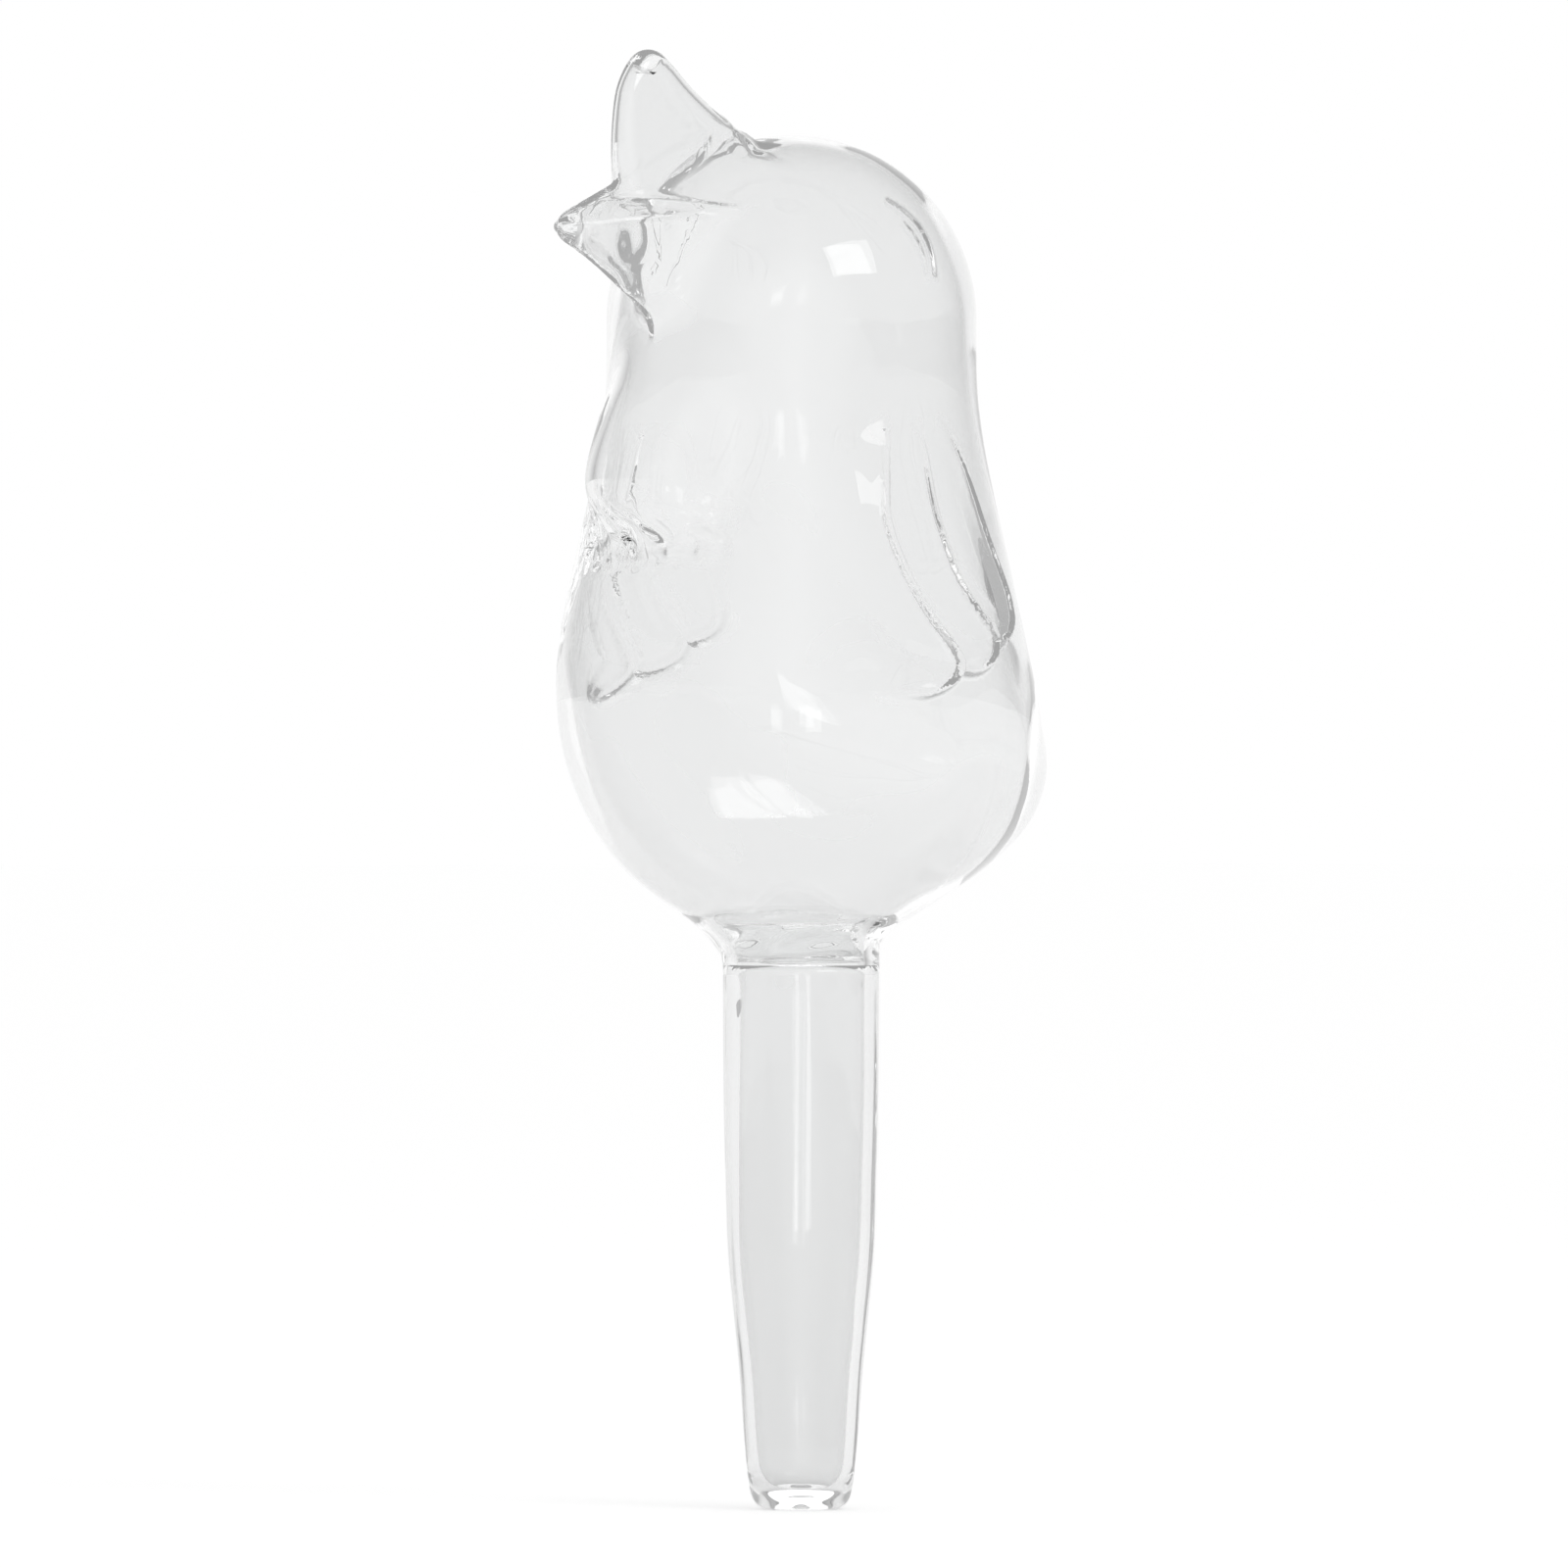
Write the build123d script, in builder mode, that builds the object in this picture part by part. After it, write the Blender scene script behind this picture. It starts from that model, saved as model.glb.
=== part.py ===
from build123d import *
import os
from math import pi, sin, sqrt

os.makedirs("parts", exist_ok=True)

# Glass watering globe: a blown bird on a drawn stem. The origin is the middle of the drip hole
# at the tip, +Z is up the stem, the bird faces -Y and its left wing is on +X.

# Stem: a 20 mm tube, drawn down and closed in at its tip
stem_radius = 10.0
stem_wall = 1.8
stem_top_z = 69.4
stem_straight_end_z = 52.5
stem_waist_radius = 9.65
stem_waist_z = 36.0
tip_radius = 6.8
tip_shoulder_z = 3.2
tip_foot_radius = 4.4
tip_round = 3.6
tip_floor = 1.8
drip_hole_radius = 1.5

# Neck: the fused ring between the tube and the bulb
seal_height = 5.5
seal_bead = 0.6
seal_flare_shares = ((0, 0), (0.3, 0.12), (0.65, 0.45), (1, 1))
neck_z = stem_top_z + seal_height

# Bulb: a pear-shaped body with a domed head, all one wall of glass
bulb_wall = 1.3
bulb_shift = 1.7
belly_radius = 30.0
belly_rise = 29.1
belly_drop_share = 1.0928
chest_rise = 42.0
shoulder_rise = 5.6
head_radius = 23.6
belly_z = neck_z + belly_rise
belly_drop = belly_rise * belly_drop_share
shoulder_z = belly_z + chest_rise
head_z = shoulder_z + shoulder_rise

# Tail: a rounded nose that points back, flared where it leaves the body
tail_reach = 12.1
tail_length_share = 1.08
tail_root_share = 0.65
tail_flare_shares = ((0.26, 0.9), (0.52, 0.74), (0.76, 0.54), (0.9, 0.36))
tail_slope_share = 0.3
tail_blend_share = 0.3
tail_clearance = 0.1
tail_tip_y = belly_radius - bulb_shift + tail_reach
tail_root_y = tail_tip_y - belly_radius * tail_length_share
tail_root_radius = belly_radius * tail_root_share
tail_blend = belly_radius * tail_blend_share
tail_z = neck_z + tail_root_radius + tail_clearance

# Bib: a ruff that rolls out below the throat, with its places as shares of the head's radius,
# forward of the bulb's axis and above the middle of the head
bib_foot_shares = (1.0466, -1.2288)
bib_top_shares = (0.5212, 0.1017)
bib_radius_share = 0.462
bib_drop_shares = ((0.04, 0.6), (0.16, 0.96), (0.43, 1), (0.7, 0.87), (0.88, 0.6))
bib_blend_share = 0.125
bib_radius = head_radius * bib_radius_share
bib_blend = head_radius * bib_blend_share

# Wings: three feathers on each side, from the rear one forward, each prouder than the last.
# A feather's lower and upper ends are placed behind the bulb's axis and above the belly.
wing_relief = 1.2
feather_step = 0.5
wing_rise = 37.0
feathers = (
    ((10.6, 11.6), 5.2, (4.2, 35.0)),
    ((5.9, 8.0), 6.1, (-0.3, 33.0)),
    ((-3.5, 5.4), 6.5, (-7.3, 31.0)),
)
feather_root_radius = 1.2
root_relief = 0.3
wing_margin = 2.0

# Eyes: a closed lid pressed into each side of the head, from its top round its back and foot
# to its front, as shares of the head's radius behind and above the middle of the head
eye_shares = ((-0.004, 0.585), (0.136, 0.411), (0.123, 0.254), (0.008, 0.394))
eye_depth = 0.5

# Comb: a hollow fin along the crown that leans out over the beak. Each level has its height as
# a share of the comb's, and its front and rear as shares of the head's radius.
comb_wall = 1.2
comb_height = 21.6
comb_foot_share = 0.5254
comb_level_shares = ((0, 1.25, 0.0975), (0.49, 1.25, 0.3856), (0.76, 1.25, 0.7585), (1, 1.1653, 0.9534))
comb_foot_width = 9.4
comb_top_width = 3.2
comb_front_share = 0.62
comb_corner_share = 0.8

# Beak: a hollow four-sided point with a level mouth line. Heights and the root's place are
# shares of the head's radius.
beak_wall = 1.2
beak_reach = 18.9
beak_root_share = 0.6907
beak_tip_share = 0.5212
beak_top_share = 0.9661
beak_foot_share = -0.2119
beak_mouth_share = 0.5847
beak_width_share = 0.6525
beak_nose_share = 0.05
beak_hollow_share = 0.34
beak_corner_share = 0.16
beak_flare_share = 0.8
beak_jaw_share = 0.6
beak_jaw_drop_share = 0.8
beak_tip_y = -bulb_shift - head_radius - beak_reach
beak_root_y = -bulb_shift - head_radius * beak_root_share

# Cuts run this far past a face
overrun = 5.0

# Heights along a form at which its outline is set
hip_shares = (0.06, 0.2, 0.45, 0.72)
wing_height_shares = (0, 0.35, 0.7, 1)
beak_length_shares = (0, 0.3, 0.6, 0.85, 1)


def smooth(share):
    """Eases from 0 to 1 with a level start and end."""
    held = min(max(share, 0), 1)
    return held**2 * (3 - 2 * held)


def between(low, high, share):
    """The value that lies at a share of the way from low to high."""
    return low + (high - low) * share


def flank_radius(z, grow):
    """Radius of the plain bulb at height z, grown by a relief or taken in by a wall."""
    if z < belly_z:
        drop = (belly_z - z) / (belly_drop + grow)
        return (belly_radius + grow) * sqrt(1 - drop**2)
    rise = smooth((z - belly_z) / (shoulder_z - belly_z))
    return between(belly_radius, head_radius, rise) + grow


def head_place(forward_share, up_share):
    """A place in the bird's middle plane, by shares of the head's radius from the head's middle."""
    return Vector(0, -bulb_shift - head_radius * forward_share, head_z + head_radius * up_share)


def body_solid(grow):
    """The plain body and head, turned about the bulb's own upright axis."""
    belly = belly_radius + grow
    head = head_radius + grow
    neck = flank_radius(neck_z, grow)
    chest_z = (belly_z + shoulder_z) / 2
    chest = (flank_radius(chest_z, grow), chest_z)
    hips = []
    for share in hip_shares:
        z = between(neck_z, belly_z, share)
        hips.append((flank_radius(z, grow), z))
    with BuildPart() as body:
        with BuildSketch(Plane.YZ):
            with BuildLine():
                Line((0, neck_z), (neck, neck_z))
                Spline((neck, neck_z), *hips, (belly, belly_z), chest, (head, shoulder_z), (head, head_z))
                RadiusArc((head, head_z), (0, head_z + head), -head)
                Line((0, head_z + head), (0, neck_z))
            make_face()
        revolve(axis=Axis.Z)
    return Pos(0, -bulb_shift, 0) * body.part


def tail_solid(inset):
    """The tail's nose, turned about a level axis that points back."""
    tip_y = tail_tip_y - inset
    skin = [(tail_root_y, tail_z + tail_root_radius - inset)]
    for along, out in tail_flare_shares:
        skin.append((between(tail_root_y, tip_y, along), tail_z + tail_root_radius * out - inset))
    with BuildPart() as tail:
        with BuildSketch(Plane.YZ):
            with BuildLine():
                flare = Spline(*skin, (tip_y, tail_z), tangents=((1, -tail_slope_share), (0, -1)))
                Line(flare @ 1, (tail_root_y, tail_z))
                Line((tail_root_y, tail_z), flare @ 0)
            make_face()
        revolve(axis=Axis((0, 0, tail_z), (0, 1, 0)))
    return tail.part


def bib_solid(inset):
    """The bib's drop, turned about an axis that leans from its foot back to the throat."""
    foot = head_place(*bib_foot_shares)
    lean = head_place(*bib_top_shares) - foot
    side = Plane(origin=foot, x_dir=(1, 0, 0), z_dir=Vector(1, 0, 0).cross(lean))
    skin = []
    for along, out in bib_drop_shares:
        skin.append((bib_radius * out - inset, between(inset, lean.length, along)))
    with BuildPart() as bib:
        with BuildSketch(side):
            with BuildLine():
                drop = Spline((0, inset), *skin, (0, lean.length), tangents=((1, 0), (-1, 1)))
                Line(drop @ 1, drop @ 0)
            make_face()
        revolve(axis=Axis(foot, lean))
    return bib.part


def feather_pair(tip, drop_radius, root, relief):
    """One feather on each side: the body grown towards its lower end, inside a drop outline."""
    low_z = belly_z + tip[1] - drop_radius - wing_margin
    wing_top_z = belly_z + wing_rise
    skin = []
    for share in wing_height_shares:
        z = between(low_z, wing_top_z, share)
        skin.append((-bulb_shift + flank_radius(z, between(relief, root_relief, share)), z))
    with BuildPart() as feather:
        with BuildSketch(Plane.YZ):
            with BuildLine():
                Spline(*skin)
                Polyline(skin[-1], (-bulb_shift, wing_top_z), (-bulb_shift, low_z), skin[0])
            make_face()
        revolve(axis=Axis((0, -bulb_shift, 0), (0, 0, 1)))
        with BuildSketch(Plane.YZ):
            with Locations((tip[0] - bulb_shift, tip[1] + belly_z)):
                Circle(drop_radius)
            with Locations((root[0] - bulb_shift, root[1] + belly_z)):
                Circle(feather_root_radius)
            make_hull()
        extrude(amount=belly_radius + overrun, both=True, mode=Mode.INTERSECT)
    return feather.part


def comb_solid(inset):
    """The comb's fin through its level sections, narrower in front than behind."""
    with BuildPart() as comb:
        for height_share, front_share, rear_share in comb_level_shares:
            z = head_z + head_radius * comb_foot_share + (comb_height - inset) * height_share
            front = -bulb_shift - head_radius * front_share + inset
            rear = -bulb_shift - head_radius * rear_share - inset
            half = between(comb_foot_width, comb_top_width, height_share) / 2 - inset
            front_half = half * comb_front_share
            with BuildSketch(Plane.XY.offset(z)) as section:
                Polygon((front_half, front), (half, rear), (-half, rear), (-front_half, front), align=None)
                fillet(section.vertices(), front_half * comb_corner_share)
        loft()
    return comb.part


def beak_solid(start_share, inset):
    """The beak, or its hollow, from a share of its length back to its root, taken in by inset."""
    with BuildPart() as beak:
        for share in beak_length_shares:
            out = between(start_share, 1, share)
            y = between(beak_tip_y, beak_root_y, out)
            top = head_z + head_radius * between(beak_tip_share, beak_top_share, out) - inset
            foot = head_z + head_radius * between(beak_tip_share, beak_foot_share, out) + inset
            mouth = head_z + head_radius * between(beak_tip_share, beak_mouth_share, out)
            jaw = between(mouth, foot, beak_jaw_drop_share)
            half = head_radius * beak_width_share / 2 * out**beak_flare_share - inset
            jaw_half = half * beak_jaw_share
            with BuildSketch(Plane.XZ.offset(-y)) as section:
                Polygon(
                    (0, top),
                    (half, mouth),
                    (jaw_half, jaw),
                    (0, foot),
                    (-jaw_half, jaw),
                    (-half, mouth),
                    align=None,
                )
                fillet(section.vertices(), half * beak_corner_share)
        loft()
    return beak.part


def bulb_form_solid(grow):
    """Body, tail and bib in one, with the tail blended into the back."""
    with BuildPart() as form:
        add(body_solid(grow))
        add(tail_solid(-grow))
        fillet(edges(Select.NEW), tail_blend)
        add(bib_solid(-grow))
        fillet(edges(Select.NEW), bib_blend)
    return form.part


bulb_form = bulb_form_solid(0)
bulb_hollow = bulb_form_solid(-bulb_wall)
comb_form = comb_solid(0)
comb_hollow = comb_solid(comb_wall)
beak_form = beak_solid(beak_nose_share, 0)
beak_hollow = beak_solid(beak_hollow_share, beak_wall)

wing_feathers = []
for order, (tip, drop_radius, root) in enumerate(feathers):
    relief = wing_relief + feather_step * order
    wing_feathers.append(feather_pair(tip, drop_radius, root, relief))

# Eyes: the shallow cut that a closed lid leaves on each side of the head
eye_top, eye_back, eye_foot, eye_front = [
    (-bulb_shift + head_radius * behind, head_z + head_radius * above) for behind, above in eye_shares
]
with BuildPart() as eye_press:
    with BuildSketch(Plane.YZ):
        with BuildLine():
            ThreePointArc(eye_top, eye_back, eye_foot)
            ThreePointArc(eye_foot, eye_front, eye_top)
        make_face()
    extrude(amount=head_radius, both=True)
    with Locations((0, -bulb_shift, head_z)):
        Sphere(head_radius - eye_depth, mode=Mode.SUBTRACT)

# Bulb: the bird's body with its feathers and eyes, and one wall of glass all round
with BuildPart() as bird_bulb:
    add(bulb_form)
    add(wing_feathers)
    add([eye_press.part, bulb_hollow, comb_hollow, beak_hollow], mode=Mode.SUBTRACT)

# Beak: open behind into the head, and cut to the face it is fused on
with BuildPart() as beak:
    add(beak_form)
    add([bulb_form, beak_hollow, comb_hollow], mode=Mode.SUBTRACT)

# Comb: open below into the head, and cut to the crown and the beak it is fused on
with BuildPart() as comb:
    add(comb_form)
    add([bulb_form, beak_form, comb_hollow], mode=Mode.SUBTRACT)

# Neck seal: a flared ring from the tube to the bulb's neck, thick where the two melted together
with BuildPart() as seal_bore:
    for share, _ in seal_flare_shares:
        z = between(stem_top_z, neck_z, share)
        bore = between(stem_radius - stem_wall, flank_radius(neck_z, -bulb_wall), share)
        with BuildSketch(Plane.XY.offset(z)):
            with Locations((0, -bulb_shift * share)):
                Circle(bore - seal_bead * sin(pi * share))
    loft()

with BuildPart() as neck_seal:
    for share, flare_share in seal_flare_shares:
        z = between(stem_top_z, neck_z, share)
        with BuildSketch(Plane.XY.offset(z)):
            with Locations((0, -bulb_shift * share)):
                Circle(between(stem_radius, flank_radius(neck_z, 0), flare_share))
    loft()
    add(seal_bore.part, mode=Mode.SUBTRACT)

# Stem tube: straight, drawn to a taper, and closed in round the drip hole
with BuildPart() as stem_tube:
    with BuildSketch(Plane.XZ):
        with BuildLine():
            outside = Spline(
                (stem_radius, stem_straight_end_z),
                (stem_waist_radius, stem_waist_z),
                (tip_radius, tip_shoulder_z),
                tangents=((0, -1), (tip_radius - stem_waist_radius, tip_shoulder_z - stem_waist_z)),
            )
            Line((stem_radius, stem_top_z), outside @ 0)
            foot = RadiusArc(outside @ 1, (tip_foot_radius, 0), tip_round)
            Line(foot @ 1, (drip_hole_radius, 0))
            Line((drip_hole_radius, 0), (drip_hole_radius, tip_floor))
            inside = Spline(
                (stem_radius - stem_wall, stem_straight_end_z),
                (stem_waist_radius - stem_wall, stem_waist_z),
                (tip_radius - stem_wall, tip_shoulder_z + tip_floor),
                tangents=((0, -1), (tip_radius - stem_waist_radius, tip_shoulder_z - stem_waist_z)),
            )
            RadiusArc(inside @ 1, (drip_hole_radius, tip_floor), tip_round)
            Line(inside @ 0, (stem_radius - stem_wall, stem_top_z))
            Line((stem_radius - stem_wall, stem_top_z), (stem_radius, stem_top_z))
        make_face()
    revolve()

pieces = {
    "bird_bulb": bird_bulb,
    "comb": comb,
    "beak": beak,
    "neck_seal": neck_seal,
    "stem_tube": stem_tube,
}
for name, piece in pieces.items():
    piece.part.label = name
    export_step(piece.part, f"parts/{name}.step")
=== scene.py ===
"""Looks of a clear glass watering globe: a blown bird on a drawn stem, on a pale floor."""

from __future__ import annotations

import logging
import math
from collections.abc import Callable, Sequence
from dataclasses import dataclass, field
from enum import Enum

import bmesh
import bpy
import numpy as np
from mathutils import Matrix, Vector

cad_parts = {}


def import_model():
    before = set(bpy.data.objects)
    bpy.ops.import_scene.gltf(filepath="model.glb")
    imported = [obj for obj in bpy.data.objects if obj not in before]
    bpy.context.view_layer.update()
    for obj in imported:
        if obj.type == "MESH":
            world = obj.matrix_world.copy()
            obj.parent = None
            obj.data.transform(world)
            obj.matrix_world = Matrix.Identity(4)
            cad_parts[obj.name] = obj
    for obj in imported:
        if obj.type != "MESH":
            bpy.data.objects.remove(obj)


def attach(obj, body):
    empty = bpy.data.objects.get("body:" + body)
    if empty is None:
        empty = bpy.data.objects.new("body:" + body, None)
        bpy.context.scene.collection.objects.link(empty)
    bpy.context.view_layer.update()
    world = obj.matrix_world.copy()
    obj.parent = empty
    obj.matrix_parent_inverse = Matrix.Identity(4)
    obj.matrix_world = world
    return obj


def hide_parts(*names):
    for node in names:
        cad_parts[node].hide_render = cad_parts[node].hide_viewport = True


log = logging.getLogger("watering_globe")

MM = 0.001
# Keeps a division from failing.
TINY = 1e-9
# Farther than any place here.
HUGE = 1e12
# A face counts as level where its normal points up or down by more than this.
LEVEL = 0.9999
ROOT = "root"
Form = Callable[[np.ndarray], np.ndarray]
PlanePoint = tuple[float, float]


def ease(share: np.ndarray) -> np.ndarray:
    """Eases from 0 to 1 with a level start and end.

    Args:
        share: Places along the way, of any value.

    Returns:
        The eased shares, held between 0 and 1.
    """
    held = np.clip(share, 0.0, 1.0)
    return held * held * (3.0 - 2.0 * held)


@dataclass(frozen=True)
class Fade:
    """A detail's soft border: where it starts and over how far it comes in, in mm.

    A detail that lies below its border is asked with negative values, and its start is the
    border's negative.
    """

    start: float
    run: float

    def share(self, value: np.ndarray) -> np.ndarray:
        """How much of the detail there is at each value, from 0 to 1."""
        return ease((value - self.start) / self.run)


def melt(first: np.ndarray, second: np.ndarray, reach: float) -> np.ndarray:
    """Joins two forms as soft glass does, with a fillet between them.

    Args:
        first: Distances to the first form, in mm.
        second: Distances to the second form, in mm.
        reach: How far the fillet reaches, in mm.

    Returns:
        Distances to the joined form.
    """
    share = np.clip(0.5 + 0.5 * (second - first) / reach, 0.0, 1.0)
    return second + (first - second) * share - reach * share * (1.0 - share)


def overlap(first: np.ndarray, second: np.ndarray, rounding: float) -> np.ndarray:
    """The part that two forms share, with its edges rounded.

    Args:
        first: Distances to the first form, in mm.
        second: Distances to the second form, in mm.
        rounding: Size of the rounding, in mm.

    Returns:
        Distances to the shared part.
    """
    return -melt(-first, -second, rounding)


def outline_distance(
    across: np.ndarray, up: np.ndarray, corners: Sequence[PlanePoint]
) -> np.ndarray:
    """Distances from places to a closed outline, less than 0 inside it.

    Args:
        across: First coordinate of the points.
        up: Second coordinate of the points.
        corners: The outline's corners in order.

    Returns:
        Signed distances in the outline's own unit.
    """
    closed = (*corners, corners[0])
    inside = np.zeros(across.shape, dtype=bool)
    for (x0, y0), (x1, y1) in zip(closed, closed[1:]):
        crosses = (y0 > up) != (y1 > up)
        if y1 != y0:
            inside ^= crosses & (across < (x1 - x0) * (up - y0) / (y1 - y0) + x0)
    return np.where(inside, -1.0, 1.0) * line_distance(across, up, closed)


def line_distance(across: np.ndarray, up: np.ndarray, stops: Sequence[PlanePoint]) -> np.ndarray:
    """Distance from points to an open line through several stops.

    Args:
        across: First coordinate of the points.
        up: Second coordinate of the points.
        stops: The line's points in order.

    Returns:
        Distances in the line's own unit.
    """
    nearest = np.full(across.shape, HUGE)
    for (x0, y0), (x1, y1) in zip(stops, stops[1:]):
        run_x, run_y = x1 - x0, y1 - y0
        aside, above = across - x0, up - y0
        along = np.clip((aside * run_x + above * run_y) / (run_x**2 + run_y**2), 0.0, 1.0)
        nearest = np.minimum(nearest, (aside - run_x * along) ** 2 + (above - run_y * along) ** 2)
    return np.sqrt(nearest)


def fair_curve(stops: Sequence[PlanePoint], count: int) -> list[PlanePoint]:
    """Points along a smooth curve through given stops.

    Args:
        stops: The points that the curve runs through.
        count: How many points each stretch gets.

    Returns:
        The curve's points in order.
    """
    points = [Vector(stop) for stop in stops]
    padded = [2 * points[0] - points[1]] + points + [2 * points[-1] - points[-2]]
    curve = []
    for before, start, end, after in zip(padded, padded[1:], padded[2:], padded[3:]):
        for step in range(count):
            share = step / count
            place = 0.5 * (
                2 * start
                + (end - before) * share
                + (2 * before - 5 * start + 4 * end - after) * share**2
                + (3 * start - before - 3 * end + after) * share**3
            )
            curve.append((place.x, place.y))
    curve.append(stops[-1])
    return curve


def only_near(places: np.ndarray, near: np.ndarray, measure: Form, far: float) -> np.ndarray:
    """Measures only the places that lie near a detail, and gives the rest one value.

    Args:
        places: Points in mm, one row each.
        near: Which of them lie near the detail.
        measure: What is measured there.
        far: The value of all the others.

    Returns:
        One value for each point.
    """
    values = np.full(len(places), far)
    if near.any():
        values[near] = measure(places[near])
    return values


def waves(places: np.ndarray, pitch: float, count: int, seed: int) -> np.ndarray:
    """Smooth uneven waves in three dimensions, the same on every run.

    Args:
        places: Points in mm, one row each.
        pitch: Rough distance between crests, in mm.
        count: How many single waves are summed.
        seed: Chooses the set of waves.

    Returns:
        Heights between about -1 and 1.
    """
    draw = np.random.default_rng(seed)
    total = np.zeros(len(places))
    for _ in range(count):
        way = draw.normal(size=3)
        way *= 2.0 * math.pi / (pitch * draw.uniform(0.7, 1.5)) / np.linalg.norm(way)
        total += np.sin(places @ way + draw.uniform(0.0, 2.0 * math.pi))
    return total / math.sqrt(count)


def steepness(form: Form, places: np.ndarray, step: float = 0.03) -> np.ndarray:
    """The way in which a form's distance grows fastest, at each place.

    Args:
        form: The form.
        places: Points in mm, one row each.
        step: Length of the probe, in mm.

    Returns:
        One vector for each place.
    """
    probes = np.array(((1, -1, -1), (-1, -1, 1), (-1, 1, -1), (1, 1, 1)), dtype=float)
    total = np.zeros_like(places)
    for probe in probes:
        total += probe * form(places + probe * step)[:, None]
    return total / (len(probes) * step)


def vertex_places(bm: bmesh.types.BMesh) -> np.ndarray:
    """Where a mesh's vertices are, one row each."""
    return np.array([vertex.co for vertex in bm.verts])


def put_vertices(bm: bmesh.types.BMesh, places: np.ndarray) -> None:
    """Puts a mesh's vertices at new places, one row each."""
    for vertex, place in zip(bm.verts, places):
        vertex.co = place


def unit_rows(ways: np.ndarray) -> np.ndarray:
    """The same ways with a length of 1, one row each."""
    return ways / np.maximum(np.linalg.norm(ways, axis=1), TINY)[:, None]


def swell(places: np.ndarray, share: np.ndarray) -> None:
    """Moves each place away from the upright axis by a share of its distance to it."""
    for axis in (0, 1):
        places[:, axis] *= 1.0 + share


def settle(
    bm: bmesh.types.BMesh, form: Form, rounds: int, most: float = 0.7, least: float = 0.04
) -> None:
    """Moves a mesh's vertices onto a form's surface.

    Args:
        bm: The mesh, in mm.
        form: The form it settles on.
        rounds: How many times the vertices move.
        most: The longest single move, in mm.
        least: The least square of the form's steepness that is trusted.
    """
    places = vertex_places(bm)
    for _ in range(rounds):
        away = form(places)
        grow = steepness(form, places)
        size = np.maximum(np.sum(grow * grow, axis=1), least)
        move = -grow * (away / size)[:, None]
        length = np.maximum(np.linalg.norm(move, axis=1), TINY)
        places += move * np.minimum(1.0, most / length)[:, None]
    put_vertices(bm, places)


def relax(bm: bmesh.types.BMesh, share: float) -> None:
    """Evens out a mesh's vertices by a share of the way to their neighbours' middle.

    Args:
        bm: The mesh, in mm.
        share: How far each vertex moves to that middle.
    """
    bmesh.ops.smooth_vert(
        bm, verts=bm.verts[:], factor=share, use_axis_x=True, use_axis_y=True, use_axis_z=True
    )


def split_bends(bm: bmesh.types.BMesh, form: Form, bend: float, shortest: float) -> None:
    """Splits the edges along which a form turns the most, so that its creases come out clean.

    Args:
        bm: The mesh, in mm.
        form: The form that it lies on.
        bend: The turn from which an edge is split, in degrees.
        shortest: Length below which an edge stays whole, in mm.
    """
    bm.verts.index_update()
    places = vertex_places(bm)
    facing = unit_rows(steepness(form, places))
    ends = np.array([(edge.verts[0].index, edge.verts[1].index) for edge in bm.edges])
    turn = np.sum(facing[ends[:, 0]] * facing[ends[:, 1]], axis=1) < math.cos(math.radians(bend))
    turn &= np.linalg.norm(places[ends[:, 0]] - places[ends[:, 1]], axis=1) > shortest
    edges = [edge for edge, splits in zip(bm.edges, turn) if splits]
    bmesh.ops.subdivide_edges(bm, edges=edges, cuts=1, use_grid_fill=True)
    bmesh.ops.triangulate(bm, faces=[face for face in bm.faces if len(face.verts) > 4])


def add_ball(
    bm: bmesh.types.BMesh, place: Matrix, radius: float = 1.0, around: int = 64, up: int = 40
) -> None:
    """Adds a ball to a mesh, moved and stretched by its place."""
    bmesh.ops.create_uvsphere(bm, u_segments=around, v_segments=up, radius=radius, matrix=place)


def add_cone(
    bm: bmesh.types.BMesh, place: Matrix, low: float, high: float, depth: float, around: int = 64
) -> None:
    """Adds a closed cone to a mesh, with one radius at its low end and one at its high end.

    Args:
        bm: The mesh that it is added to, in mm.
        place: Where its middle goes and how it is turned.
        low: Radius at its low end, in mm.
        high: Radius at its high end, in mm.
        depth: Its height, in mm.
        around: How many sides it has.
    """
    bmesh.ops.create_cone(
        bm, cap_ends=True, segments=around, radius1=low, radius2=high, depth=depth, matrix=place
    )


def placed(name: str, data: bpy.types.ID) -> bpy.types.Object:
    """Makes an object of its data and links it to the scene.

    Args:
        name: The object's name.
        data: Its mesh, lamp or camera.

    Returns:
        The object.
    """
    thing = bpy.data.objects.new(name, data)
    bpy.context.scene.collection.objects.link(thing)
    return thing


def voxel_skin(seed: bmesh.types.BMesh, pitch: float) -> bmesh.types.BMesh:
    """One closed skin round everything in a rough mesh.

    Args:
        seed: Overlapping closed shapes, in mm. It is freed.
        pitch: Size of the skin's faces, in mm.

    Returns:
        The skin as a new mesh.
    """
    rough = bpy.data.meshes.new("rough")
    seed.to_mesh(rough)
    seed.free()
    holder = placed("rough", rough)
    cast = holder.modifiers.new("cast", "REMESH")
    cast.mode = "VOXEL"
    cast.voxel_size = pitch
    graph = bpy.context.evaluated_depsgraph_get()
    cast_mesh = bpy.data.meshes.new_from_object(holder.evaluated_get(graph))
    skin = bmesh.new()
    skin.from_mesh(cast_mesh)
    bpy.data.objects.remove(holder)
    bpy.data.meshes.remove(rough)
    bpy.data.meshes.remove(cast_mesh)
    return skin


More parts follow.
